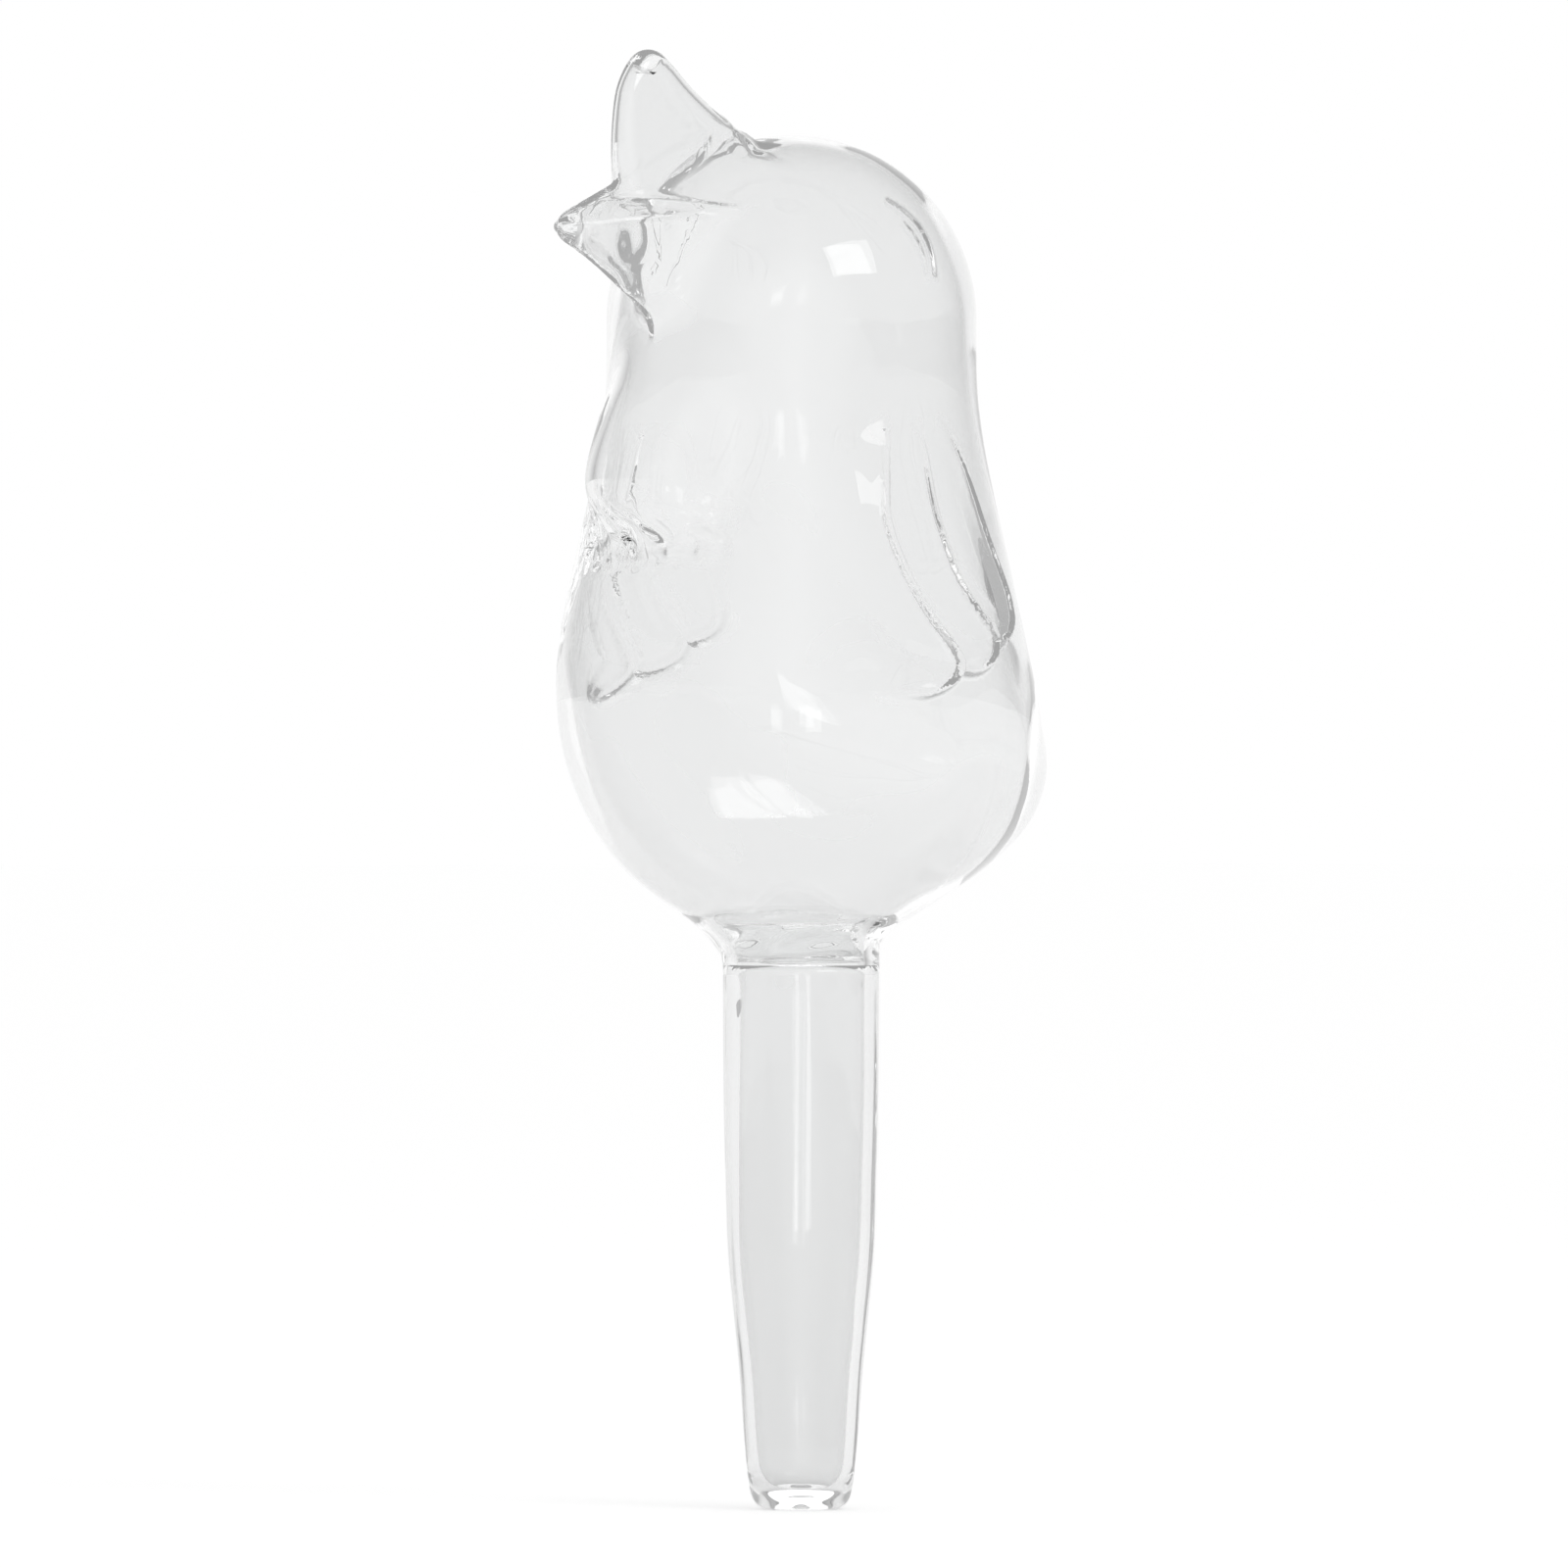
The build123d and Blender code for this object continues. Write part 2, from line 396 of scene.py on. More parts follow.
def finished_piece(
    name: str, bm: bmesh.types.BMesh, material: bpy.types.Material
) -> bpy.types.Object:
    """Makes an object of a mesh in mm, smooth all over but for faces that lie level.

    Args:
        name: The object's name.
        bm: The mesh in mm. It is freed.
        material: What the piece is dressed in.

    Returns:
        The new object, linked to the scene.
    """
    bmesh.ops.scale(bm, vec=(MM, MM, MM), verts=bm.verts[:])
    bm.normal_update()
    for face in bm.faces:
        face.smooth = abs(face.normal.z) < LEVEL
    mesh = bpy.data.meshes.new(name)
    bm.to_mesh(mesh)
    bm.free()
    mesh.materials.append(material)
    piece = placed(name, mesh)
    log.info("%s: %d faces", name, len(mesh.polygons))
    return piece


def hand_over(piece: bpy.types.Object, nodes: Sequence[str]) -> None:
    """Rides a piece on the root and lets it stand for its nodes.

    Args:
        piece: The piece.
        nodes: The nodes of the solids that it stands for.
    """
    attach(piece, ROOT)
    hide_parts(*nodes)


@dataclass
class TurnedBody:
    """The pear-shaped body and domed head, turned about the bulb's own upright axis."""

    shift: float = 1.7
    belly_radius: float = 30.0
    belly_z: float = 104.0
    belly_drop: float = 31.8
    shoulder_z: float = 146.0
    head_radius: float = 23.6
    head_z: float = 151.6

    def form(self, places: np.ndarray) -> np.ndarray:
        """Distances to the body's skin.

        Args:
            places: Points in mm, one row each.

        Returns:
            One distance for each point, in mm.
        """
        x, y, z = places.T
        out = np.hypot(x, y + self.shift)
        dome = np.hypot(out, z - self.head_z) - self.head_radius
        rise = np.clip((z - self.belly_z) / (self.shoulder_z - self.belly_z), 0.0, 1.0)
        narrowing = self.head_radius - self.belly_radius
        slope = narrowing * 6.0 * rise * (1.0 - rise) / (self.shoulder_z - self.belly_z)
        flank = (out - self.belly_radius - narrowing * ease(rise)) / np.sqrt(1.0 + slope**2)
        drop = z - self.belly_z
        scaled = np.hypot(out / self.belly_radius, drop / self.belly_drop)
        spread = np.hypot(out / self.belly_radius**2, drop / self.belly_drop**2)
        pot = scaled * (scaled - 1.0) / np.maximum(spread, 1e-6)
        return np.where(z > self.head_z, dome, np.where(z < self.belly_z, pot, flank))

    def seed(self, bm: bmesh.types.BMesh, inset: float) -> None:
        """Adds the body's rough shape: a belly, a trunk and a head.

        Args:
            bm: The mesh that it is added to, in mm.
            inset: How far inside the outer skin it lies, in mm.
        """
        belly, head = self.belly_radius - inset, self.head_radius - inset
        squash = Matrix.Diagonal((1, 1, self.belly_drop / self.belly_radius, 1))
        add_ball(bm, Matrix.Translation((0, -self.shift, self.belly_z)) @ squash, belly)
        middle = Matrix.Translation((0, -self.shift, (self.belly_z + self.head_z) / 2))
        add_cone(bm, middle, belly, head, self.head_z - self.belly_z)
        add_ball(bm, Matrix.Translation((0, -self.shift, self.head_z)), head)


@dataclass
class TailNose:
    """The rounded tail that points back from the belly."""

    axis_z: float = 94.5
    root_y: float = 8.0
    tip_y: float = 40.3
    root_radius: float = 19.5
    taper: float = 1.24
    root_depth: float = 24.0
    flattest: float = 0.012
    seed_y: float = 16.0
    seed_radius: float = 16.0

    def form(self, places: np.ndarray) -> np.ndarray:
        """Distances to the tail's skin.

        Args:
            places: Points in mm, one row each.

        Returns:
            One distance for each point, in mm.
        """
        x, y, z = places.T
        length = self.tip_y - self.root_y
        out = np.hypot(x, z - self.axis_z)
        along = np.clip((y - self.root_y) / length, 0.0, None)
        behind = np.clip(self.root_y - y, 0.0, None) / self.root_depth
        size = np.sqrt((out / self.root_radius) ** 2 + along**self.taper + behind**2) + TINY
        grow_out = out / self.root_radius**2 / size
        grow_along = self.taper * along ** (self.taper - 1.0) / length / 2.0 / size
        grow_behind = behind / self.root_depth / size
        grow = np.sqrt(grow_out**2 + grow_along**2 + grow_behind**2)
        return (size - 1.0) / np.maximum(grow, self.flattest)

    def seed(self, bm: bmesh.types.BMesh, inset: float) -> None:
        """Adds the tail's rough shape.

        Args:
            bm: The mesh that it is added to, in mm.
            inset: How far inside the outer skin it lies, in mm.
        """
        sides, reach = self.seed_radius - inset, self.tip_y - self.seed_y - inset
        spot = Matrix.Translation((0, self.seed_y, self.axis_z))
        add_ball(bm, spot @ Matrix.Diagonal((sides, reach, sides, 1)), around=48, up=32)


@dataclass
class ThroatBib:
    """The ruff of glass that rolls out below the beak and curls under at its crumpled hem."""

    foot_y: float = -26.4
    foot_z: float = 122.6
    top_y: float = -14.0
    top_z: float = 154.0
    radius: float = 10.9
    widest: float = 0.4
    flattest: float = 0.025
    # The crumpled hem and where it fades out.
    crumple: float = 0.45
    crumple_pitch: float = 3.4
    hem_front: Fade = Fade(21.0, 4.0)
    hem_top: Fade = Fade(-129.5, 5.0)
    hem_foot: Fade = Fade(118.6, 3.0)
    hem_sides: Fade = Fade(-15.0, 5.0)
    near_y: float = -20.0
    seed_share: float = 0.48

    def lean(self) -> tuple[float, float, float]:
        """The unit way up the bib's axis in y and z, and the axis's length.

        Returns:
            The way's share in y and in z, and the length in mm.
        """
        run_y, run_z = self.top_y - self.foot_y, self.top_z - self.foot_z
        length = math.hypot(run_y, run_z)
        return run_y / length, run_z / length, length

    def form(self, places: np.ndarray) -> np.ndarray:
        """Distances to the bib's skin.

        Args:
            places: Points in mm, one row each.

        Returns:
            One distance for each point, in mm.
        """
        x, y, z = places.T
        way_y, way_z, length = self.lean()
        dy, dz = y - self.foot_y, z - self.foot_z
        share = (dy * way_y + dz * way_z) / length
        out = np.hypot(x, dz * way_y - dy * way_z)
        low = np.clip((self.widest - share) / self.widest, 0.0, None)
        high = np.clip((share - self.widest) / (1.0 - self.widest), 0.0, None)
        size = np.sqrt((out / self.radius) ** 2 + low**4 + high**2) + TINY
        grow_out = out / self.radius**2 / size
        grow_low = 2.0 * low**3 / self.widest / length / size
        grow_high = high / (1.0 - self.widest) / length / size
        grow = np.sqrt(grow_out**2 + grow_low**2 + grow_high**2)
        return (size - 1.0) / np.maximum(grow, self.flattest)

    def hem(self, places: np.ndarray) -> np.ndarray:
        """How far the crumpled hem stands out from the smooth bib.

        Args:
            places: Points in mm, one row each.

        Returns:
            One height for each point, in mm.
        """
        x, y, z = places.T
        near = self.hem_front.share(-y) * self.hem_top.share(-z)
        near *= self.hem_foot.share(z) * self.hem_sides.share(-np.abs(x))
        return self.crumple * near * waves(places, self.crumple_pitch, count=7, seed=5)

    def seed(self, bm: bmesh.types.BMesh, inset: float) -> None:
        """Adds the bib's rough shape.

        Args:
            bm: The mesh that it is added to, in mm.
            inset: How far inside the outer skin it lies, in mm.
        """
        way_y, way_z, length = self.lean()
        half = length * self.seed_share
        middle = (0, self.foot_y + way_y * half, self.foot_z + way_z * half)
        tilt = Matrix.Rotation(-math.atan2(way_y, way_z), 4, "X")
        sides = self.radius - inset
        place = Matrix.Translation(middle) @ tilt @ Matrix.Diagonal((sides, sides, half - inset, 1))
        add_ball(bm, place, around=40, up=28)


@dataclass
class CrestFin:
    """The hollow comb along the crown. Its outline's places are y and z."""

    stops: tuple[PlanePoint, ...] = (
        (-31.2, 158.0), (-32.0, 166.0), (-32.6, 173.0), (-32.3, 178.6), (-31.5, 181.6),
        (-29.8, 184.2), (-28.0, 185.4), (-25.8, 185.4), (-23.8, 184.1), (-20.3, 181.1),
        (-16.6, 178.5), (-12.5, 176.1), (-8.9, 173.4), (-6.4, 168.0), (-6.0, 158.0),
    )
    edge: float = 2.4
    foot_z: float = 166.0
    top_z: float = 185.6
    foot_half: float = 3.3
    top_half: float = 2.2
    rear_y: float = -11.0
    front_run: float = 20.0
    front_share: float = 0.8
    lowest: float = -0.3
    flattest: float = 0.1
    # The ragged join along the foot and where it fades out.
    fold: float = 0.22
    fold_pitch: float = 4.0
    fold_top: Fade = Fade(-178.0, 3.0)
    fold_foot: Fade = Fade(169.0, 2.5)
    fold_front: Fade = Fade(-17.0, 5.0)
    fold_rear: Fade = Fade(6.5, 3.0)
    fold_sides: Fade = Fade(-6.0, 2.0)
    # The rough plates that the two skins are cast from.
    seed_y: float = -19.0
    seed_share: float = 0.9
    seed_drop: float = 1.2
    seed_half: float = 1.7
    hollow_half: float = 1.0
    hollow_drop: float = 1.6
    # Below these heights there is no comb and no join to measure.
    near_z: float = 150.0
    fold_near_z: float = 168.0
    outline: tuple[PlanePoint, ...] = ()

    def __post_init__(self) -> None:
        """Rounds the outline between its stops."""
        self.outline = tuple(fair_curve(self.stops, count=4))

    def half_width(self, places: np.ndarray) -> np.ndarray:
        """Half of the fin's width at each place.

        Args:
            places: Points in mm, one row each.

        Returns:
            One half width for each point, in mm.
        """
        _, y, z = places.T
        up = np.clip((z - self.foot_z) / (self.top_z - self.foot_z), self.lowest, 1.0)
        forward = np.clip((self.rear_y - y) / self.front_run, 0.0, 1.0)
        half = self.foot_half + (self.top_half - self.foot_half) * up
        return half * (1.0 + (self.front_share - 1.0) * forward)

    def form(self, places: np.ndarray) -> np.ndarray:
        """Distances to the comb's skin, which is round like a cushion along its edges.

        Args:
            places: Points in mm, one row each.

        Returns:
            One distance for each point, in mm.
        """
        x, y, z = places.T
        side = outline_distance(y, z, self.outline)
        out = np.maximum(side + self.edge, 0.0) / self.edge
        half = self.half_width(places)
        across = np.abs(x) / half
        size = np.sqrt(out**2 + across**2) + TINY
        grow = np.sqrt((out / self.edge) ** 2 + (across / half) ** 2) / size
        return (size - 1.0) / np.maximum(grow, self.flattest)

    def folds(self, places: np.ndarray) -> np.ndarray:
        """The ragged join along the comb's foot and its rear edge.

        Args:
            places: Points in mm, one row each.

        Returns:
            One height for each point, in mm.
        """
        x, y, z = places.T
        foot = self.fold_top.share(-z) * self.fold_foot.share(z)
        rear = self.fold_front.share(y) * self.fold_rear.share(-y)
        near = foot * rear * self.fold_sides.share(-np.abs(x))
        return self.fold * near * waves(places, self.fold_pitch, count=6, seed=11)

    def seed(self, bm: bmesh.types.BMesh, inset: float) -> None:
        """Adds the comb's rough shape, where its hollow is wide enough.

        Args:
            bm: The mesh that it is added to, in mm.
            inset: How far inside the outer skin it lies, in mm.
        """
        half = self.seed_half if inset == 0.0 else self.hollow_half
        top = self.top_z - self.seed_drop - (0.0 if inset == 0.0 else self.hollow_drop)
        ring = []
        for y, z in self.outline:
            inward = self.seed_y + self.seed_share * (y - self.seed_y)
            ring.append(bm.verts.new((-half, inward, min(z, top))))
        face = bm.faces.new(ring)
        grown = bmesh.ops.extrude_face_region(bm, geom=[face])
        moved = [item for item in grown["geom"] if isinstance(item, bmesh.types.BMVert)]
        bmesh.ops.translate(bm, vec=(2.0 * half, 0, 0), verts=moved)


@dataclass
class PointedBeak:
    """The hollow pointed beak with a level mouth line and a deep jaw."""

    root_y: float = -18.0
    tip_y: float = -46.5
    tip_z: float = 162.5
    root_top_z: float = 175.2
    root_foot_z: float = 144.6
    chin: float = 1.3
    root_half: float = 7.7
    mouth_z: float = 165.4
    flare: float = 0.8
    jaw_share: float = 0.6
    jaw_drop: float = 0.8
    nose_y: float = -43.05
    edge: float = 3.2
    inner_edge: float = 1.4
    sharp_share: float = 0.35
    sharp_reach: float = 0.4
    lip_share: float = 0.3
    nose_share: float = 0.5
    lean_share: float = 0.92
    root_run: float = 6.0
    longest: float = 1.3
    # The closed mouth's pressed line.
    mouth_depth: float = 0.3
    mouth_width: float = 0.5
    mouth_line: tuple[PlanePoint, ...] = (
        (-43.0, 165.2), (-36.5, 166.4), (-31.0, 166.7), (-26.0, 166.3), (-19.6, 165.4),
    )
    mouth_sides: Fade = Fade(0.6, 1.0)
    # The thicker and crumpled glass inside the tip.
    extra_wall: float = 0.15
    extra_reach: Fade = Fade(-0.42, 0.3)
    extra_front: Fade = Fade(22.0, 3.0)
    crumple: float = 0.14
    crumple_pitch: float = 3.8
    crumple_front: Fade = Fade(26.0, 3.0)
    crumple_foot: Fade = Fade(150.0, 3.0)
    crumple_top: Fade = Fade(-172.0, 3.0)
    # Behind and below these places there is no beak and no mouth to measure.
    near_y: float = -8.0
    near_z: float = 138.0
    mouth_near_y: float = -17.0
    mouth_near_z: float = 160.0
    # The rough hulls that the two skins are cast from.
    seed_start: float = 0.12
    hollow_start: float = 0.27
    hollow_top: float = 1.3
    hollow_foot: float = 1.5
    hollow_side: float = 1.2

    def form(self, places: np.ndarray, edge: float) -> np.ndarray:
        """Distances to the beak's skin, with its edges rounded by a size in mm.

        Args:
            places: Points in mm, one row each.
            edge: Size of that rounding, in mm.

        Returns:
            One distance for each point, in mm.
        """
        x, y, z = places.T
        out = np.clip((y - self.tip_y) / (self.root_y - self.tip_y), 0.0, self.longest)
        across = np.abs(x)
        top = self.tip_z + (self.root_top_z - self.tip_z) * out
        foot = self.tip_z + (self.root_foot_z - self.tip_z) * out**self.chin
        mouth = self.tip_z + (self.mouth_z - self.tip_z) * out
        jaw = mouth + (foot - mouth) * self.jaw_drop
        half = self.root_half * np.maximum(out, 1e-4) ** self.flare
        grown = ease(out / self.sharp_reach)
        round_off = edge * (self.sharp_share + (1.0 - self.sharp_share) * grown)
        jaw_half = half * self.jaw_share
        zero = np.zeros_like(out)
        skin = None
        sides = (
            ((zero, top), (half, mouth), 1.0),
            ((half, mouth), (jaw_half, jaw), self.lip_share),
            ((jaw_half, jaw), (zero, foot), 1.0),
        )
        for (x0, z0), (x1, z1), share in sides:
            run_x, run_z = x1 - x0, z1 - z0
            length = np.maximum(np.hypot(run_x, run_z), 1e-6)
            side = ((across - x0) * -run_z + (z - z0) * run_x) / length
            skin = side if skin is None else overlap(skin, side, round_off * share)
        skin = skin * self.lean_share
        skin = overlap(skin, self.nose_y - y, self.nose_share * edge)
        return overlap(skin, y - self.root_y - self.root_run, edge)

    def tip_glass(self, places: np.ndarray) -> np.ndarray:
        """How much thicker the wall is towards the beak's tip.

        Args:
            places: Points in mm, one row each.

        Returns:
            One thickness for each point, in mm.
        """
        y = places[:, 1]
        out = (y - self.tip_y) / (self.root_y - self.tip_y)
        share = self.extra_reach.share(-out) * self.extra_front.share(-y)
        return self.extra_wall * share

    def mouth_press(self, places: np.ndarray) -> np.ndarray:
        """How far the closed mouth's line is pressed in, out to its spur on the cheek.

        Args:
            places: Points in mm, one row each.

        Returns:
            One depth for each point, in mm.
        """
        x, y, z = places.T
        line = line_distance(y, z, self.mouth_line)
        groove = np.exp(-((line / self.mouth_width) ** 2))
        return self.mouth_depth * groove * self.mouth_sides.share(np.abs(x))

    def folds(self, places: np.ndarray) -> np.ndarray:
        """The crumpled glass inside the beak.

        Args:
            places: Points in mm, one row each.

        Returns:
            One height for each point, in mm.
        """
        _, y, z = places.T
        near = self.crumple_front.share(-y) * self.crumple_foot.share(z)
        near *= self.crumple_top.share(-z)
        return self.crumple * near * waves(places, self.crumple_pitch, count=6, seed=23)

    def seed(self, bm: bmesh.types.BMesh, inset: float) -> None:
        """Adds the beak's rough shape as the hull of its tip and its root.

        Args:
            bm: The mesh that it is added to, in mm.
            inset: How far inside the outer skin it lies, in mm.
        """
        start = self.seed_start if inset == 0.0 else self.hollow_start
        corners = []
        for out in (start, 1.0):
            y = self.tip_y + (self.root_y - self.tip_y) * out
            top = self.tip_z + (self.root_top_z - self.tip_z) * out
            top -= inset * self.hollow_top
            foot = self.tip_z + (self.root_foot_z - self.tip_z) * out**self.chin
            foot += inset * self.hollow_foot
            mouth = self.tip_z + (self.mouth_z - self.tip_z) * out
            half = self.root_half * out**self.flare - inset * self.hollow_side
            jaw = mouth + (foot - mouth) * self.jaw_drop
            jaw_half = half * self.jaw_share
            right = ((0, top), (half, mouth), (jaw_half, jaw), (0, foot))
            left = ((-jaw_half, jaw), (-half, mouth))
            corners += [bm.verts.new((x, y, z)) for x, z in right + left]
        bmesh.ops.convex_hull(bm, input=corners)


@dataclass
class Feather:
    """One feather: the crease along its rear edge and round its tip. Its places are y and z."""

    crease: tuple[PlanePoint, ...]
    relief: float
    front_y: float
    over_z: float = 150.0
    front_end: Fade = Fade(1.2, 8.0)
    line: tuple[PlanePoint, ...] = ()
    web: tuple[PlanePoint, ...] = ()

    def __post_init__(self) -> None:
        """Rounds the crease between its stops and closes it far in front."""
        self.line = tuple(fair_curve(self.crease, count=3))
        last, first = self.line[-1], self.line[0]
        closing = ((self.front_y, last[1]), (self.front_y, self.over_z), (first[0], self.over_z))
        self.web = self.line + closing

    def tip_z(self) -> float:
        """How high the feather's tip lies: at the crease's fourth stop from its front end."""
        return self.crease[-4][1]

    def inward(self, y: np.ndarray, z: np.ndarray) -> np.ndarray:
        """How far places lie on the feather's side of its crease."""
        side = np.where(outline_distance(y, z, self.web) < 0.0, 1.0, -1.0)
        return side * line_distance(y, z, self.line)

    def strength(self, y: np.ndarray, z: np.ndarray) -> np.ndarray:
        """A share that fades out towards the crease's front end."""
        last = self.crease[-1]
        return self.front_end.share(np.hypot(y - last[0], z - last[1]))


@dataclass
class FeatheredWings:
    """Three stepped feathers on each side of the body."""

    feathers: tuple[Feather, ...] = (
        Feather(
            (
                (1.6, 139.4), (3.6, 136.6), (5.6, 133.0), (6.9, 129.5), (8.5, 124.1),
                (10.0, 120.4), (11.5, 116.6), (11.7, 113.4), (10.0, 111.1), (7.0, 110.0),
                (3.5, 110.6), (-1.0, 112.5),
            ),
            relief=1.25,
            front_y=-8.0,
        ),
        Feather(
            (
                (-2.2, 137.0), (-1.8, 133.4), (-1.6, 128.0), (-0.8, 123.5), (0.8, 118.5),
                (4.0, 114.6), (6.9, 111.9), (6.6, 109.0), (4.6, 107.2), (0.8, 106.1),
                (-4.0, 107.0), (-8.0, 109.0),
            ),
            relief=1.1,
            front_y=-14.0,
        ),
        Feather(
            (
                (-7.4, 137.0), (-8.5, 131.0), (-9.2, 126.0), (-8.3, 121.0), (-6.6, 116.6),
                (-4.4, 113.1), (-2.0, 110.3), (-0.7, 108.2), (-1.1, 106.4), (-2.6, 105.0),
                (-4.9, 103.9), (-7.9, 103.2), (-11.5, 103.4), (-15.0, 105.0),
            ),
            relief=1.45,
            front_y=-24.0,
        ),
    )
    top_z: float = 141.0
    root_relief: float = 0.2
    step_width: float = 1.3
    lip: float = 0.2
    lip_inset: float = 1.0
    lip_width: float = 0.8
    web_fade: Fade = Fade(0.0, 9.0)
    web_share: float = 0.97
    growth: float = 0.7
    sides: Fade = Fade(10.0, 8.0)
    top: Fade = Fade(-141.0, 6.0)
    foot_z: float = 96.0

    def relief(self, places: np.ndarray) -> np.ndarray:
        """How far the feathers stand out from the plain body.

        Args:
            places: Points in mm, one row each.

        Returns:
            One height for each point, in mm.
        """
        x, y, z = places.T
        height = np.zeros(len(places))
        for feather in self.feathers:
            depth = feather.inward(y, z)
            low = feather.tip_z()
            up = np.clip((z - low) / (self.top_z - low), 0.0, 1.0)
            grown = (1.0 - up) ** self.growth
            rise = self.root_relief + (feather.relief - self.root_relief) * grown
            step = ease(0.5 + depth / self.step_width)
            web = 1.0 - self.web_share * self.web_fade.share(depth)
            from_lip = (depth - self.lip_inset) / self.lip_width
            lip = self.lip * (1.0 - up) * np.exp(-(from_lip**2))
            height = np.maximum(height, step * web * (rise + lip) * feather.strength(y, z))
        return height * self.sides.share(np.abs(x)) * self.top.share(-z)


@dataclass
class ClosedEyes:
    """The closed lid pressed into each side of the head. Its lines' places are y and z."""

    lid: tuple[PlanePoint, ...] = (
        (-2.4, 166.2), (-0.7, 165.0), (0.9, 163.2), (1.5, 161.2), (1.6, 159.2), (1.3, 157.2),
    )
    lash: tuple[PlanePoint, ...] = ((-1.4, 163.4), (-0.4, 161.4), (0.2, 159.2), (0.3, 157.2))
    depth: float = 0.3
    width: float = 0.6
    lash_share: float = 0.8
    sides: Fade = Fade(6.0, 4.0)
    near_z: float = 150.0

    def press(self, places: np.ndarray) -> np.ndarray:
        """How far the lids are pressed in.

        Args:
            places: Points in mm, one row each.

        Returns:
            One depth for each point, in mm.
        """
        x, y, z = places.T
        lid = line_distance(y, z, self.lid)
        lash = line_distance(y, z, self.lash)
        groove = np.exp(-((lid / self.width) ** 2))
        groove += self.lash_share * np.exp(-((lash / self.width) ** 2))
        return self.depth * groove * self.sides.share(np.abs(x))


@dataclass
class BlownNeck:
    """The bulb's neck, drawn in to the tube that it is fused to."""

    foot_z: float = 69.4
    bulb_z: float = 74.9
    radius: float = 10.0
    wall: float = 1.8
    shift: float = 1.7
    reach: float = 84.0
    rounding: float = 2.0
    spare: float = 4.0

    def axis_y(self, z: np.ndarray) -> np.ndarray:
        """Where the neck's middle lies at each height."""
        return -self.shift * ease((z - self.foot_z) / (self.bulb_z - self.foot_z))

    def form(self, places: np.ndarray) -> np.ndarray:
        """Distances to the neck's skin.

        Args:
            places: Points in mm, one row each.

        Returns:
            One distance for each point, in mm.
        """
        x, y, z = places.T
        side = np.hypot(x, y - self.axis_y(z)) - self.radius
        return overlap(side, z - self.reach, self.rounding)

    def seed(self, bm: bmesh.types.BMesh, inset: float) -> None:
        """Adds the neck's rough shape, long enough to be cut off square.

        Args:
            bm: The mesh that it is added to, in mm.
            inset: How far inside the outer skin it lies, in mm.
        """
        radius = self.radius - (self.wall if inset > 0.0 else 0.0)
        low = self.foot_z - self.spare
        place = Matrix.Translation((0, -self.shift / 2, (low + self.reach) / 2))
        add_cone(bm, place, radius, radius, self.reach - low)


